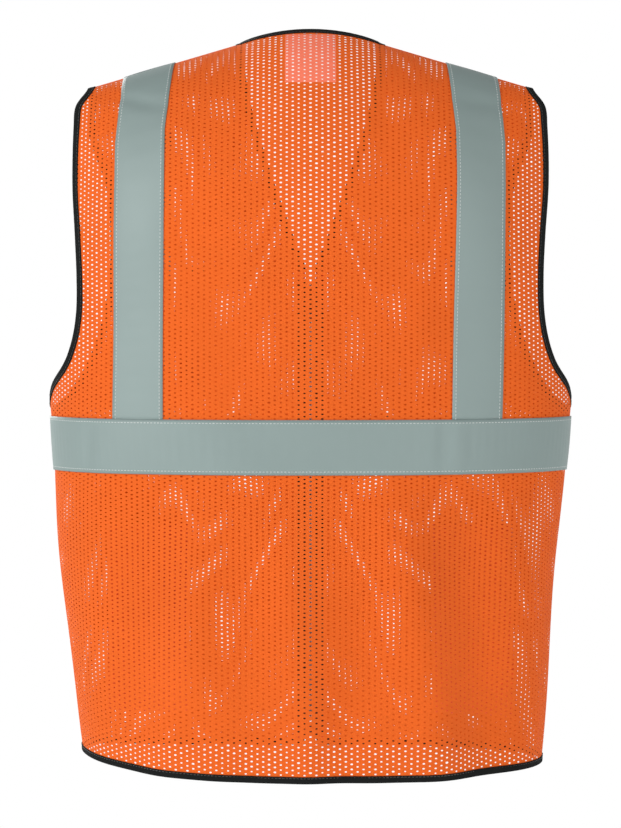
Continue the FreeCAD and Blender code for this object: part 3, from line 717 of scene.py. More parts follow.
def mesh_panel(name, pattern, s_low, s_high, side="left"):
    """One panel, its holes a little uneven in size. The right front is the left's outline, mirrored."""
    corner_s, corner_c, hole_s, hole_c, (right, top, left, bottom) = lattice(pattern, s_low, s_high)
    # drop cells that lie wholly outside
    kept_s, kept_c = pattern.kept(hole_s, hole_c)
    miss = np.maximum(np.abs(kept_s - hole_s) / COLUMN_PITCH, np.abs(kept_c - hole_c) / 0.5)
    inside = miss < 1.0
    hole_s, hole_c = hole_s[inside], hole_c[inside]
    right, top, left, bottom = (ids[inside] for ids in (right, top, left, bottom))
    pitch = smooth_table(ROW_PITCH, pattern.height(hole_s, np.clip(hole_c, 0, None)))
    tall = HOLE_HALF_HEIGHT / pitch
    count, corners = len(hole_s), len(corner_s)
    size = 1.0 + SIZE_SPREAD * RNG.standard_normal(count)
    ring_s = np.stack([hole_s + dx * HOLE_HALF_WIDTH * size for dx, dy in HOLE_CORNERS], axis=1)
    ring_c = np.stack([hole_c + dy * tall * size for dx, dy in HOLE_CORNERS], axis=1)
    s = np.concatenate([corner_s, ring_s.ravel()])
    c = np.concatenate([corner_c, ring_c.ravel()])
    if pattern.front:
        s, c = drifted(s, c)
    s, c = pattern.kept(s, c)
    h = [corners + np.arange(count) * 6 + i for i in range(6)]
    quads = np.concatenate([
        np.stack([right, top, h[1], h[0]], axis=1),
        np.stack([top, left, h[3], h[2]], axis=1),
        np.stack([left, bottom, h[4], h[3]], axis=1),
        np.stack([bottom, right, h[0], h[5]], axis=1),
    ])
    triangles = np.concatenate([
        np.stack([top, h[2], h[1]], axis=1),
        np.stack([bottom, h[5], h[4]], axis=1),
    ])
    points = dressed(on_side(pattern.base(s, c), side), 0.0)
    uv = np.stack([s, c * USUAL_PITCH], axis=1)
    sheet_object(name, points, uv, quads, triangles, flip=side == "right")


def area_of(points, faces):
    a, b, c = (points[faces[:, k]] for k in range(3))
    area = np.linalg.norm(np.cross(b - a, c - a), axis=1) / 2
    if faces.shape[1] == 4:
        d = points[faces[:, 3]]
        area = area + np.linalg.norm(np.cross(c - a, d - a), axis=1) / 2
    return area


def sheet_object(name, points, uv, quads, triangles, flip=False):
    """Mesh from quads and triangles, without the slivers squeezed flat at the outline."""
    tiny = (0.05 * MM) ** 2
    faces = []
    for group in (quads, triangles):
        good = group[area_of(points, group) > tiny]
        faces += [tuple(f[::-1]) if flip else tuple(f) for f in good.tolist()]
    used = np.zeros(len(points), bool)
    for f in faces:
        used[list(f)] = True
    renumber = np.cumsum(used) - 1
    faces = [tuple(int(renumber[i]) for i in f) for f in faces]
    obj = make_object(name, points[used], faces, MESH_CLOTH, uv[used])
    weld(obj, 0.01 * MM)


def weld(obj, distance):
    """Joins corners closer together than a distance in metres."""
    work = bmesh.new()
    work.from_mesh(obj.data)
    bmesh.ops.remove_doubles(work, verts=work.verts, dist=distance)
    bmesh.ops.dissolve_degenerate(work, edges=work.edges, dist=distance)
    work.to_mesh(obj.data)
    work.free()


# further round than the side seam at any height
PAST_SEAM = 345.0

mesh_panel("back_mesh", BACK, -PAST_SEAM, PAST_SEAM)
for side in SIDES:
    mesh_panel(f"front_mesh_{side}", FRONT, 0.0, PAST_SEAM, side)

# ---- Bands of cloth: a grid of base points, given thickness ----


def distances(points):
    """How far along a line each of its points lies."""
    return np.concatenate([[0.0], np.cumsum(np.linalg.norm(np.diff(points, axis=0), axis=1))])


def points_at(points, goal):
    """Points of a line at given distances along it."""
    lengths = distances(points)
    return np.stack([np.interp(goal, lengths, points[:, k]) for k in range(3)], axis=1)


def even_path(points, step):
    """Points at even spacing along a line of base points."""
    length = distances(points)[-1]
    count = max(2, int(round(length / step)) + 1)
    return points_at(points, np.linspace(0.0, length, count))


def outward_faces(obj):
    work = bmesh.new()
    work.from_mesh(obj.data)
    bmesh.ops.recalc_face_normals(work, faces=work.faces)
    work.to_mesh(obj.data)
    work.free()


def band(name, base, inside, outside, material, relief=0.0):
    """Closed solid over a (rows, columns, 3) grid of surface points. Relief adds to both offsets."""
    rows, columns = base.shape[:2]
    outer = dressed(base, outside + relief)
    inner = dressed(base, inside + relief)
    vertices = np.concatenate([outer.reshape(-1, 3), inner.reshape(-1, 3)])
    index = np.arange(rows * columns).reshape(rows, columns)
    lower = index + rows * columns
    faces = []

    def add(a, b, c, d):
        faces.extend(np.stack([a.ravel(), b.ravel(), c.ravel(), d.ravel()], axis=1).tolist())

    add(index[:-1, :-1], index[:-1, 1:], index[1:, 1:], index[1:, :-1])
    add(lower[:-1, :-1], lower[1:, :-1], lower[1:, 1:], lower[:-1, 1:])
    add(index[:-1, 0], index[1:, 0], lower[1:, 0], lower[:-1, 0])
    add(index[1:, -1], index[:-1, -1], lower[:-1, -1], lower[1:, -1])
    add(index[0, 1:], index[0, :-1], lower[0, :-1], lower[0, 1:])
    add(index[-1, :-1], index[-1, 1:], lower[-1, 1:], lower[-1, :-1])
    lengthwise, sideways = distances(base[:, columns // 2]), distances(base[rows // 2])
    uv = np.stack(np.meshgrid(lengthwise, sideways, indexing="ij"), axis=-1).reshape(-1, 2)
    obj = make_object(name, vertices, faces, material, np.concatenate([uv, uv]))
    outward_faces(obj)


STITCH_LENGTH = 2.7
STITCH_PITCH = 3.3
STITCH_HALF = 0.32
STITCH_RISE = 0.34
# corners of one stitch: share of its length along, of its half width across, and of its rise upward
STITCH_CORNERS = [
    (-0.5, 0.0, 0.0), (-0.32, -1.0, 0.5), (0.32, -1.0, 0.5), (0.5, 0.0, 0.0),
    (0.32, 1.0, 0.5), (-0.32, 1.0, 0.5), (-0.25, 0.0, 1.0), (0.25, 0.0, 1.0),
]
STITCH_FACES = [(0, 1, 6), (1, 2, 7, 6), (2, 3, 7), (3, 4, 7), (4, 5, 6, 7), (5, 0, 6), (0, 5, 4, 3, 2, 1)]


def stitches(name, lines, material):
    """Rows of stitches. Each line is (base points, offset from the surface)."""
    vertices, faces = [], []
    for points, offset in lines:
        path = even_path(points, STITCH_PITCH)
        ahead = unit(path[1:] - path[:-1])
        middle = (path[1:] + path[:-1]) / 2
        normal = outward(middle)
        side = np.cross(normal, ahead)
        lift = (drape(middle) + offset)[:, None]
        corners = []
        for along, across_share, up in STITCH_CORNERS:
            corners.append(middle + cloth_rise(middle) + normal * (lift + STITCH_RISE * (up - 0.25))
                           + ahead * STITCH_LENGTH * along + side * STITCH_HALF * across_share)
        first = len(vertices)
        vertices.extend((np.stack(corners, axis=1).reshape(-1, 3) * MM).tolist())
        for k in range(len(middle)):
            start = first + len(STITCH_CORNERS) * k
            for face in STITCH_FACES:
                faces.append(tuple(start + i for i in face))
    make_object(name, vertices, faces, material)


# ---- Reflective tapes ----

TAPE_UNDER = 0.55
TAPE_OVER = 1.0
# the waist tape lies over the shoulder tapes
WAIST_UNDER = TAPE_UNDER + 0.25
WAIST_OVER = TAPE_OVER + 0.45
TAPE_COLUMNS = 15
STITCH_INSET = 3.2
LEAN_START = 130.0
OUTER_ANGLE = math.radians(75)
SHOULDER_SWELL = 0.5
# how far each shoulder tape leans in toward the middle at the waist, and the seed of its quilting
SHOULDER_TAPES = {"left": {"lean": -1.0, "seed": 1.0}, "right": {"lean": 5.0, "seed": 2.5}}


def tape_inner_x(z):
    return TAPE_INNER - TAPE_LEAN * ramp(z, -2 * SHOULDER_DROP, 0.0)


def row_over_shoulder(front, count):
    """Heights from the waist tape up to the shoulder line, closer together near the top."""
    top = float(ridge(TAPE_INNER - TAPE_LEAN))
    start = top - (FRONT_ROUND if front else BACK_ROUND)
    turn = np.linspace(math.pi / 2, 0.0, count)
    straight = np.linspace(WAIST_TOP - 1.0, start, count)[:-1]
    return np.concatenate([straight, top - (top - start) * (1 - np.cos(turn))])


def shoulder_tape_grid(waist_lean):
    """Base points from the back waist over the shoulder to the front waist, on the wearer's left.

    Behind, the tape leans in toward the middle by waist_lean on its way down to the waist."""
    rows = []
    for front in (False, True):
        part = []
        for z in row_over_shoulder(front, 40):
            lean = 0.0 if front else waist_lean * float(ramp(-z, LEAN_START, -WAIST_TOP))
            inner_x = float(tape_inner_x(z)) - lean
            angles = np.linspace(float(angle_at(inner_x, z, False)), OUTER_ANGLE, 90)
            drop = ridge(half_width(z) * across(angles)) - ridge(inner_x)
            share = ramp(z, WAIST_TOP, float(ridge(inner_x)))
            heights = z + drop * smooth(share)
            line = on_surface(math.pi - angles if front else angles, heights)
            part.append(points_at(line, np.linspace(0.0, TAPE_WIDTH, TAPE_COLUMNS)))
        rows += part[::-1][1:] if front else part
    return np.array(rows)


def waist_grid(front, count):
    """Base points along the waist tape: seam to seam behind, or zip edge to seam in front (wearer's left)."""
    heights = np.linspace(WAIST_BOTTOM, WAIST_TOP, TAPE_COLUMNS)
    start = float(angle_at(PLACKET, WAIST_TOP, True)) if front else -SEAM
    angles = start + (SEAM - start) * np.linspace(0.0, 1.0, count)
    return on_surface(angles[:, None], heights[None, :])


def quilt(grid, amount, seed):
    """The tape swells between its two lines of stitching and is drawn in at them."""
    rows, columns = grid.shape[:2]
    across_share = np.linspace(0.0, 1.0, columns)
    inset = STITCH_INSET / TAPE_WIDTH
    swell = np.maximum(np.sin(math.pi * np.clip((across_share - inset) / (1 - 2 * inset), 0, 1)), 0.0) ** 0.5
    along = np.linspace(0.0, 1.0, rows)[:, None]
    uneven = 0.75 + 0.25 * np.sin(along * 37.0 + seed + 3.0 * np.sin(along * 11.0 + seed))
    ripple = 0.12 * np.sin(along * rows * 1.7 + seed) * np.sin(math.pi * across_share)[None, :]
    return amount * swell[None, :] * uneven + ripple


def inset_lines(grid):
    """Two lines of base points along a tape, a little inside its long edges."""
    columns = grid.shape[1] - 1
    place = STITCH_INSET / TAPE_WIDTH * columns
    k, f = int(place), place - int(place)
    first = grid[:, k] * (1 - f) + grid[:, k + 1] * f
    last = grid[:, columns - k] * (1 - f) + grid[:, columns - k - 1] * f
    return first, last


shoulder_grids = {}
for side, tape in SHOULDER_TAPES.items():
    grid = on_side(shoulder_tape_grid(tape["lean"]), side)
    relief = quilt(grid, SHOULDER_SWELL, tape["seed"])
    band(f"shoulder_tape_{side}_cloth", grid, TAPE_UNDER, TAPE_OVER, TAPE, relief)
    shoulder_grids[side] = grid

back_waist, front_waist = waist_grid(False, 260), waist_grid(True, 130)
# place, base points, and the quilting's swell and seed
waist_tapes = [
    ("back", back_waist, 0.55, 0.3),
    ("front_left", front_waist, 0.5, 0.9),
    ("front_right", on_side(front_waist, "right"), 0.5, 1.9),
]
for place, grid, swell, seed in waist_tapes:
    band(f"waist_tape_{place}_cloth", grid, WAIST_UNDER, WAIST_OVER, TAPE, quilt(grid, swell, seed))

shoulder_lines = [line for grid in shoulder_grids.values() for line in inset_lines(grid)]
stitches("shoulder_tape_stitches", [(line, TAPE_OVER) for line in shoulder_lines], WHITE_THREAD)
for place, grid, _, _ in waist_tapes:
    lines = [(line, WAIST_OVER) for line in inset_lines(grid)]
    stitches(f"waist_tape_{place.removeprefix('front_')}_stitches", lines, WHITE_THREAD)

# ---- Edge bindings: a folded band over each raw edge ----

ARMHOLE_BAND = 7.6
NECK_BAND = 7.0
HEM_BAND = 6.6
BAND_FOLD = 1.4
BAND_PUFF = 1.15
BAND_STEP = 2.2
# where the seam runs across the band, and how high its thread lies
BAND_SEAM = 0.80
THREAD_LIFT = 0.66 * BAND_PUFF
# one side of the section: (share of the width from the fold, height over the half thickness)
BAND_SECTION = [
    (0.0, 0.0), (0.02, 0.55), (0.09, 0.95), (0.22, 1.0), (0.45, 0.92),
    (0.68, 0.80), (BAND_SEAM, 0.62), (0.88, 0.82), (0.97, 0.80), (1.0, 0.55),
]
SECTION_STEP = 0.9


def folded_band(name, path, inward_sign, width, seed):
    """Binding along a path of base points. Returns the base line its stitches follow."""
    path = even_path(path, BAND_STEP)
    along = np.empty_like(path)
    along[1:-1] = path[2:] - path[:-2]
    along[0], along[-1] = path[1] - path[0], path[-1] - path[-2]
    inward = unit(np.cross(outward(path), along)) * inward_sign
    rows = np.arange(len(path))
    pucker = 0.10 * np.sin(rows * 1.9 + seed) + 0.07 * np.sin(rows * 0.83 + 2 * seed)
    lines = []
    for share, up in BAND_SECTION + [(share, -up) for share, up in reversed(BAND_SECTION[1:])]:
        reach = share * width - BAND_FOLD
        edge = path + inward * reach
        on = projected(edge) if reach > 0 else edge
        offset = up * (BAND_PUFF + pucker * min(1.0, 3 * share))
        out = outward(on if reach > 0 else path) * (drape(path) + offset)[:, None]
        lines.append((on + out + cloth_rise(path)) * MM)
    rings = np.stack(lines, axis=1)
    count, sides = rings.shape[:2]
    index = np.arange(count * sides).reshape(count, sides)
    following = np.roll(index, -1, axis=1)
    faces = np.stack([index[:-1], index[1:], following[1:], following[:-1]], axis=-1).reshape(-1, 4).tolist()
    faces += [index[0].tolist(), index[-1][::-1].tolist()]
    uv = np.meshgrid(np.arange(count) * BAND_STEP, np.arange(sides) * SECTION_STEP, indexing="ij")
    obj = make_object(name, rings.reshape(-1, 3), faces, BINDING, np.stack(uv, axis=-1).reshape(-1, 2))
    outward_faces(obj)
    return projected(path + inward * (BAND_SEAM * width - BAND_FOLD))


def armhole_path():
    """Up the back edge from the underarm, over the shoulder, down the front edge (wearer's left)."""
    share = (1 - np.cos(np.linspace(0.0, math.pi, 80))) / 2
    heights = UNDERARM + ARMHOLE_HEIGHT * share
    up = on_surface(armhole_angle(heights, False), heights)
    down = on_surface(armhole_angle(heights, True), heights)[::-1]
    return np.concatenate([up, down[1:-1]])


def front_neck_path(start, end, count=60):
    heights = -np.linspace(math.sqrt(-start), math.sqrt(-end), count) ** 2
    return on_surface(angle_at(neckline(heights), heights, True), heights)


def back_neck_path():
    x = NECK_HALF * np.sin(np.linspace(-math.pi / 2, math.pi / 2, 60))
    z = back_neck(x)
    return on_surface(angle_at(x, z, False), z)


NECK_JOIN = -14.0
left_turn = front_neck_path(-0.01, NECK_JOIN, 12)
neck_line = np.concatenate([on_side(left_turn, "right")[::-1], back_neck_path()[1:-1], left_turn])
v_line = front_neck_path(NECK_JOIN, ZIP_TOP)
arm_line = armhole_path()
hem_back_line = on_surface(np.linspace(-SEAM, SEAM, 240), HEM)
hem_front_line = on_surface(np.linspace(float(angle_at(PLACKET, HEM, True)), SEAM, 120), HEM)

# name, edge, which side of it the cloth is on, width, seed of the pucker
bindings = [
    ("armhole_binding_left", arm_line, -1, ARMHOLE_BAND, 0.4),
    ("armhole_binding_right", on_side(arm_line, "right"), 1, ARMHOLE_BAND, 1.4),
    ("neck_binding_back", neck_line, 1, NECK_BAND, 2.2),
    ("neck_binding_left", v_line, 1, NECK_BAND, 0.9),
    ("neck_binding_right", on_side(v_line, "right"), -1, NECK_BAND, 1.7),
    ("hem_binding_back", hem_back_line, -1, HEM_BAND, 0.2),
    ("hem_binding_left", hem_front_line, 1, HEM_BAND, 0.7),
    ("hem_binding_right", on_side(hem_front_line, "right"), -1, HEM_BAND, 1.2),
]
# both armholes share one piece of thread
band_threads = {}
for name, edge, cloth_side, width, seed in bindings:
    seam = folded_band(f"{name}_band", edge, cloth_side, width, seed)
    thread_name = "armhole_binding" if name.startswith("armhole") else name
    band_threads.setdefault(thread_name, []).append((seam, THREAD_LIFT))
for name, lines in band_threads.items():
    stitches(f"{name}_stitches", lines, DARK_THREAD)

# ---- Seams: the turned allowance at the sides and shoulders, and the turned front edges by the zip ----

SEAM_HALF = 3.2
SEAM_INSIDE = -0.45
SEAM_OUTSIDE = 0.35
SEAM_RELIEF = [-0.1, 0.05, 0.12, 0.05, -0.1]
# the turned front edge: its sides and its two rows of stitches, from the front's own edge
FACING_SIDES = (-0.6, 9.0)
FACING_SEAMS = (1.6, 7.4)
FACING_THREAD = 0.5
FACING_OUTSIDE = 0.45
FACING_RELIEF = [0.0, 0.12, 0.1, 0.08, 0.0, -0.12]
FACING_ROWS = 160


def patch_grid(x0, x1, z0, z1, front, columns=40, rows=60):
    x = np.repeat(np.linspace(x0, x1, columns)[None, :], rows, axis=0)
    z = np.repeat(np.linspace(z0, z1, rows)[:, None], columns, axis=1)
    return on_surface(angle_at(x, z, front), z)


def seam_strip(name, line):
    """Narrow strip of the panel's own cloth centred on a line of base points."""
    path = even_path(line, 3.0)
    side = unit(np.cross(outward(path), np.gradient(path, axis=0)))
    shares = np.linspace(-1.0, 1.0, len(SEAM_RELIEF))
    grid = np.stack([projected(path + side * share * SEAM_HALF) for share in shares], axis=1)
    band(name, grid, SEAM_INSIDE, SEAM_OUTSIDE, SEAM_CLOTH, np.tile(SEAM_RELIEF, (len(path), 1)))


def facing_grid(inner, outer, columns):
    """Base points of the turned front edge, between two distances from the front's own edge."""
    return patch_grid(PLACKET + inner, PLACKET + outer, HEM + 4.0, ZIP_TOP, True, columns, FACING_ROWS)


side_line = on_surface(SEAM, np.linspace(HEM + 3.0, UNDERARM - 4.0, 100))
shoulder_x = np.linspace(NECK_HALF + 4.0, SHOULDER_HALF - 4.0, 60)
shoulder_line = np.stack([shoulder_x, np.zeros(60), ridge(shoulder_x)], axis=1)
for place, line in (("side", side_line), ("shoulder", shoulder_line)):
    for side in SIDES:
        seam_strip(f"{place}_seam_{side}", on_side(line, side))

for side in SIDES:
    facing = on_side(facing_grid(*FACING_SIDES, len(FACING_RELIEF)), side)
    relief = np.tile(FACING_RELIEF, (FACING_ROWS, 1))
    band(f"front_facing_{side}", facing, SEAM_INSIDE, FACING_OUTSIDE, SEAM_CLOTH, relief)
for side in SIDES:
    seams = on_side(facing_grid(*FACING_SEAMS, 2), side)
    lines = [(seams[:, k], FACING_THREAD) for k in range(2)]
    stitches(f"front_facing_{side}_stitches", lines, WHITE_THREAD)

# ---- Pockets and label ----

POCKET_SWELL = 9.5
# the chest pocket lies outside the front's mesh, the lower pockets inside it
CHEST_LAYER = (0.55, 1.0)
LOWER_LAYER = (-1.0, -0.55)
CHEST_SIDES = (99.5, 133.0)
LOWER_SIDES = (122.0, 198.0)
MOUTH_SIDES = (99.8, 132.7)
MOUTH_DEPTH = 7.0
MOUTH_LAYER = (0.3, 1.35)
CHEST_THREAD = 1.0
LOWER_THREAD = 0.1
LABEL_HEIGHT = 50.0
LABEL_LAYER = (-0.55, -0.25)
LABEL_WAVE = 0.0375
LABEL_THREAD = -0.7


def pocket_relief(rows, columns, amount):
    across_share = np.linspace(0.0, 1.0, columns)
    up_share = np.linspace(0.0, 1.0, rows)
    arch = np.maximum(np.sin(math.pi * across_share), 0.0) ** 0.8
    lift = np.sin(math.pi / 2 * np.minimum(1.0, 1.6 * up_share))
    return amount * lift[:, None] * arch[None, :]


def flat_size(surface):
    """Width and length, in mm, of the flat rectangle that a grid of points in metres is cut from."""
    width = np.linalg.norm(np.diff(surface, axis=1), axis=2).sum(axis=1).mean()
    length = np.linalg.norm(np.diff(surface, axis=0), axis=2).sum(axis=0).mean()
    return float(width) / MM, float(length) / MM


def sewn_edge(grid):
    """The line of stitches down one side of a patch, along its foot and up the other side."""
    return np.concatenate([grid[::-1, 1], grid[1, 1:-1], grid[:, -2]])


def pocket(name, sides, heights, layer, swell, side="left"):
    """Returns the pocket's sewn edge and its flat size."""
    grid = on_side(patch_grid(*sides, *heights, True), side)
    relief = pocket_relief(*grid.shape[:2], swell)
    band(name, grid, *layer, SEAM_CLOTH, relief)
    return sewn_edge(grid), flat_size(dressed(grid, sum(layer) / 2 + relief))


def heights_of(node):
    return low(node)[2], high(node)[2]


chest_heights, lower_heights = heights_of("chest_pocket"), heights_of("lower_pocket_left")
chest_edge, chest_flat = pocket("chest_pocket_cloth", CHEST_SIDES, chest_heights, CHEST_LAYER, POCKET_SWELL)
lower_edges, lower_flats = {}, {}
for side in SIDES:
    lower_edges[side], lower_flats[side] = pocket(
        f"lower_pocket_{side}_cloth", LOWER_SIDES, lower_heights, LOWER_LAYER, -POCKET_SWELL, side)
mouth = patch_grid(*MOUTH_SIDES, chest_heights[1] - MOUTH_DEPTH, chest_heights[1] + 0.3, True, 30, 6)
mouth_relief = pocket_relief(60, 30, POCKET_SWELL)[-6:]
band("chest_pocket_mouth_band", mouth, *MOUTH_LAYER, BINDING, mouth_relief)
pocket_lines = {side: [(edge, LOWER_THREAD)] for side, edge in lower_edges.items()}
pocket_lines["left"].insert(0, (chest_edge, CHEST_THREAD))
for side, lines in pocket_lines.items():
    stitches(f"pocket_{side}_stitches", lines, WHITE_THREAD)

label_low, label_high = low("neck_label"), high("neck_label")
label_grid = patch_grid(
    label_low[0], label_high[0], label_high[2] - LABEL_HEIGHT, label_high[2] + 1.0, False, 24, 26)
label_relief = LABEL_WAVE * np.sin(np.linspace(0, 9, 26))[:, None] * np.sin(np.linspace(0, 5, 24))[None, :]
band("neck_label_satin", label_grid, *LABEL_LAYER, LABEL, label_relief)
stitches("neck_label_stitches", [(sewn_edge(label_grid), LABEL_THREAD)], WHITE_THREAD)

# ---- Zip ----

COIL_PITCH = 1.35
COIL_WIRE = 0.27
# the loops' reach across, from just past the middle, and their half depth as a share of the CAD coil's
COIL_NEAR = -0.35
COIL_FAR = 2.9
COIL_DEPTH = 0.36
WIRE_SIDES = 6
TURN_STEPS = 12
ZIP_TAPE_LAYER = (-1.45, -0.95)


def tube(name, path, radius, material):
    """Closed round tube along a path, in mm."""
    along = unit(np.gradient(path, axis=0))
    guide = np.where(np.abs(along[:, 2:3]) > 0.9, np.array([[1.0, 0.0, 0.0]]), np.array([[0.0, 0.0, 1.0]]))
    first = unit(np.cross(along, guide))
    second = np.cross(along, first)
    turn = np.linspace(0.0, 2 * math.pi, WIRE_SIDES, endpoint=False)
    ring = first[:, None] * np.cos(turn)[None, :, None] + second[:, None] * np.sin(turn)[None, :, None]
    vertices = (path[:, None] + ring * radius).reshape(-1, 3) * MM
    index = np.arange(len(path) * WIRE_SIDES).reshape(len(path), WIRE_SIDES)
    following = np.roll(index, -1, axis=1)
    faces = np.stack([index[:-1], following[:-1], following[1:], index[1:]], axis=-1).reshape(-1, 4).tolist()
    faces += [index[0][::-1].tolist(), index[-1].tolist()]
    make_object(name, vertices, faces, material)


def coil(side, phase):
    """Nylon coil on the zip tape's edge. Its loops reach just past the middle, between the other's."""
    lowest, highest = low(f"zipper_coil_{side}"), high(f"zipper_coil_{side}")
    turns = (highest[2] - lowest[2]) / COIL_PITCH
    theta = np.linspace(0.0, 2 * math.pi * turns, int(turns * TURN_STEPS))
    x = (COIL_NEAR + COIL_FAR) / 2 + (COIL_FAR - COIL_NEAR) / 2 * np.cos(theta)
    y = (lowest[1] + highest[1]) / 2 + (highest[1] - lowest[1]) * COIL_DEPTH * np.sin(theta)
    z = lowest[2] + COIL_WIRE + theta / (2 * math.pi) * COIL_PITCH + phase
    path = on_side(np.stack([x, y, z], axis=1), side)
    tube(f"zipper_coil_{side}_wire", path, COIL_WIRE, ZIP_NYLON)


def rounded_copy(name, node, width):
    """The CAD piece with its sharp edges rounded."""
    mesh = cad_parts[node].data.copy()
    mesh.name = name
    obj = bpy.data.objects.new(name, mesh)
    bpy.context.scene.collection.objects.link(obj)
    mesh.materials.clear()
    mesh.materials.append(ZIP_METAL)
    weld(obj, 0.005 * MM)
    bevel = obj.modifiers.new("edges", "BEVEL")
    bevel.width = width * MM
    bevel.segments = 3
    bevel.limit_method = "ANGLE"
    bevel.angle_limit = math.radians(40)
    graph = bpy.context.evaluated_depsgraph_get()
    finished = bpy.data.meshes.new_from_object(obj.evaluated_get(graph))
    obj.modifiers.clear()
    obj.data = finished
    finished.polygons.foreach_set("use_smooth", [False] * len(finished.polygons))


tape_low, tape_high = low("zipper_tape_left"), high("zipper_tape_left")
zip_grid = patch_grid(tape_low[0] + 0.3, tape_high[0], tape_low[2], tape_high[2], True, 8, 200)
for side in SIDES:
    band(f"zipper_tape_{side}_cloth", on_side(zip_grid, side), *ZIP_TAPE_LAYER, ZIP_CLOTH)
coil("left", 0.0)
coil("right", COIL_PITCH / 2)
for side in SIDES:
    rounded_copy(f"top_stop_{side}_metal", f"zipper_top_stop_{side}", 0.5)
rounded_copy("insertion_pin_metal", "zipper_insertion_pin", 0.2)
rounded_copy("retainer_box_metal", "zipper_retainer_box", 0.6)
rounded_copy("slider_metal", "zipper_slider", 0.35)
rounded_copy("pull_tab_metal", "pull_tab", 0.3)

# ---- What each piece rides on and stands for. In these tables {} is read as left, then as right ----

RIDES = {
    "root": [
        "back_mesh", "waist_tape_back_cloth", "waist_tape_back_stitches", "shoulder_tape_stitches",
        "neck_binding_back_band", "neck_binding_back_stitches", "hem_binding_back_band",
        "hem_binding_back_stitches", "armhole_binding_stitches", "neck_label_satin", "neck_label_stitches",
    ],
    "front_edge_left": ["insertion_pin_metal"],
    "front_edge_right": ["retainer_box_metal"],
    "zipper_slider": ["slider_metal"],
    "pull_tab": ["pull_tab_metal"],
}
SIDE_RIDES = {
    "root": ["shoulder_tape_{}_cloth", "armhole_binding_{}_band", "side_seam_{}", "shoulder_seam_{}"],
    "front_edge_{}": [
        "zipper_tape_{}_cloth", "zipper_coil_{}_wire", "top_stop_{}_metal", "front_facing_{}",
        "front_facing_{}_stitches",
    ],
}
# pieces that cross the fold line
BENDS = {"left": ["chest_pocket_cloth", "chest_pocket_mouth_band"], "right": []}
SIDE_BENDS = [
    "front_mesh_{}", "waist_tape_front_{}_cloth", "waist_tape_{}_stitches", "neck_binding_{}_band",
    "neck_binding_{}_stitches", "hem_binding_{}_band", "hem_binding_{}_stitches", "lower_pocket_{}_cloth",
    "pocket_{}_stitches",
]
# each piece's finish slot, then the CAD nodes it stands for
STANDS_FOR = {
    "back_mesh": ("mesh_cloth", "back_panel"),
    "waist_tape_back_cloth": ("reflective_tape", "waist_tape_back"),
    "neck_binding_back_band": ("binding", "neck_binding_back"),
    "hem_binding_back_band": ("binding", "hem_binding_back"),
    "chest_pocket_cloth": ("pocket_cloth", "chest_pocket"),
    "neck_label_satin": ("label", "neck_label"),
    "insertion_pin_metal": ("zip_plastic", "zipper_insertion_pin"),
    "retainer_box_metal": ("zip_plastic", "zipper_retainer_box"),
    "slider_metal": ("zip_metal", "zipper_slider"),
    "pull_tab_metal": ("zip_metal", "pull_tab"),
}
SIDE_STANDS_FOR = {
    "shoulder_tape_{}_cloth": ("reflective_tape", "shoulder_tape_{}"),
    "waist_tape_front_{}_cloth": ("reflective_tape", "waist_tape_side_{}", "waist_tape_edge_{}"),
    "front_mesh_{}": ("mesh_cloth", "front_panel_{}", "front_edge_{}"),
    "armhole_binding_{}_band": ("binding", "armhole_binding_{}"),
    "neck_binding_{}_band": ("binding", "neck_binding_{}"),
    "hem_binding_{}_band": ("binding", "hem_binding_side_{}", "hem_binding_edge_{}"),
    "lower_pocket_{}_cloth": ("pocket_cloth", "lower_pocket_{}"),
    "zipper_tape_{}_cloth": ("zip_tape", "zipper_tape_{}"),
    "zipper_coil_{}_wire": ("zip_coil", "zipper_coil_{}"),
    "top_stop_{}_metal": ("zip_metal", "zipper_top_stop_{}"),
}


def piece(name):
    return bpy.data.objects[name]


def ride_all(table, side=""):
    for body, names in table.items():
        for name in names:
            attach(piece(name.format(side)), body.format(side))


def stand_all(table, side=""):
    for name, (slot_name, *nodes) in table.items():
        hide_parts(*[node.format(side) for node in nodes])


ride_all(RIDES)
for side in SIDES:
    ride_all(SIDE_RIDES, side)
    for name in BENDS[side] + SIDE_BENDS:
        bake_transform(piece(name.format(side)))

stand_all(STANDS_FOR)
for side in SIDES:
    stand_all(SIDE_STANDS_FOR, side)

# ---- Flat sizes of the cloth sheets, worked out but not kept ----


def girth(pattern):
    """Distance round the cloth from its middle to the side seam, at the underarm."""
    return float(pattern.reach(np.array([SEAM]), np.array([UNDERARM]))[0])


2 * girth(BACK)
for side in SIDES:
    girth(FRONT)
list(flat_size(dressed(label_grid, 0.0)))

# ---- Ground, light and camera ----

FLOOR_DROP = 1.45
FLOOR_HALF = 3.6
FLOOR_GLOW = 0.3

floor_shader = Shader("floor_white", (0.93, 0.93, 0.93), 0.9)
floor_shader.give("Emission Color", (1.0, 1.0, 1.0, 1.0))
floor_shader.give("Emission Strength", FLOOR_GLOW)
floor_turns = ((-1, -1), (1, -1), (1, 1), (-1, 1))
floor_corners = [(FLOOR_HALF * x, FLOOR_HALF * y, -FLOOR_DROP) for x, y in floor_turns]
floor = make_object("floor", floor_corners, [(0, 1, 2, 3)], floor_shader.material, smooth_faces=False)

# a white studio wall all round, with a dimmer ceiling
WALL_SLOPES = (0.35, 0.65)
WALL_LIGHT = 1.0
CEILING_LIGHT = 0.35

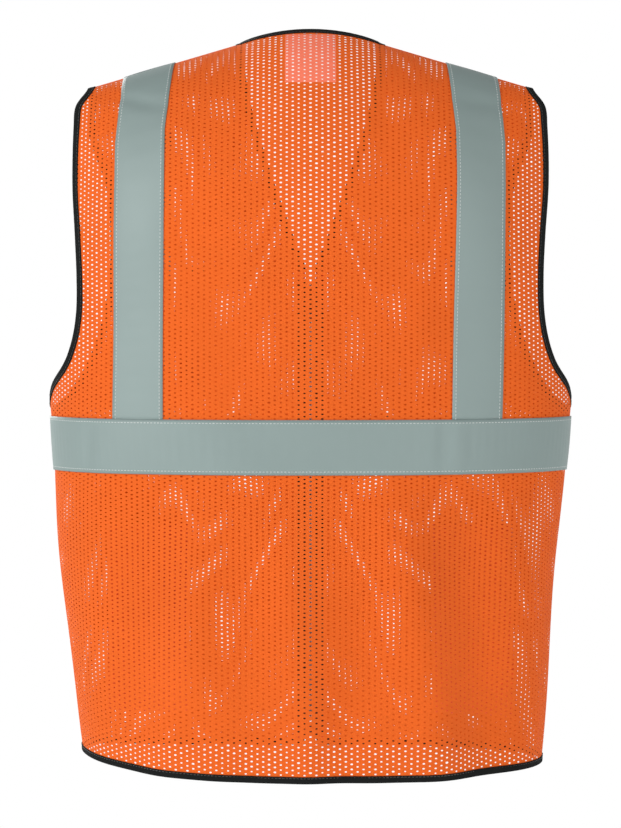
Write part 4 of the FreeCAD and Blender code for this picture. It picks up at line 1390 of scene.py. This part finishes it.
world = bpy.data.worlds.new("white_studio")
world.use_nodes = True
nodes, links = world.node_tree.nodes, world.node_tree.links
background = nodes["Background"]
background.inputs["Color"].default_value = (1.0, 1.0, 1.0, 1.0)
direction = nodes.new("ShaderNodeTexCoord")
parts = nodes.new("ShaderNodeSeparateXYZ")
slope = nodes.new("ShaderNodeMath")
slope.operation = "ABSOLUTE"
dimming = nodes.new("ShaderNodeMapRange")
dimming.interpolation_type = "SMOOTHSTEP"
dimming_range = {
    "From Min": WALL_SLOPES[0], "From Max": WALL_SLOPES[1], "To Min": WALL_LIGHT, "To Max": CEILING_LIGHT,
}
for name, value in dimming_range.items():
    dimming.inputs[name].default_value = value
links.new(direction.outputs["Generated"], parts.inputs[0])
links.new(parts.outputs["Z"], slope.inputs[0])
links.new(slope.outputs[0], dimming.inputs["Value"])
links.new(dimming.outputs[0], background.inputs["Strength"])
bpy.context.scene.world = world
bpy.context.scene.view_settings.view_transform = "Standard"
bpy.context.scene.view_settings.look = "None"

MIDDLE = (0.0, 0.0, -0.3530)


def look_at(obj, target):
    toward = Vector(target) - obj.location
    obj.rotation_euler = toward.to_track_quat("-Z", "Y").to_euler()


def soft_light(name, place, width, watts):
    light = bpy.data.lights.new(name, "AREA")
    light.shape = "DISK"
    light.size = width
    light.energy = watts
    obj = bpy.data.objects.new(name, light)
    obj.location = place
    bpy.context.scene.collection.objects.link(obj)
    look_at(obj, MIDDLE)


# place and width in metres, power in watts
soft_light("key_behind", (2.6, 2.4, 0.9), 1.2, 68.0)
soft_light("fill_behind", (-2.0, 3.2, 0.4), 1.6, 22.0)
soft_light("key_front", (1.8, -2.8, 0.9), 1.6, 60.0)

# the camera, in metres, with its lens and sensor in millimetres
EYE_LEVEL = -0.248
CAMERA_DISTANCE = 2.85
SENSOR_WIDTH = 36.0
LENS = 172.5
VIEW_END = 50.0

camera_data = bpy.data.cameras.new("camera")
camera_data.sensor_fit = "HORIZONTAL"
camera_data.sensor_width = SENSOR_WIDTH
camera_data.lens = LENS
camera_data.clip_end = VIEW_END
camera = bpy.data.objects.new("camera", camera_data)
camera.location = (0.0, CAMERA_DISTANCE, EYE_LEVEL)
bpy.context.scene.collection.objects.link(camera)
look_at(camera, MIDDLE)
bpy.context.scene.camera = camera
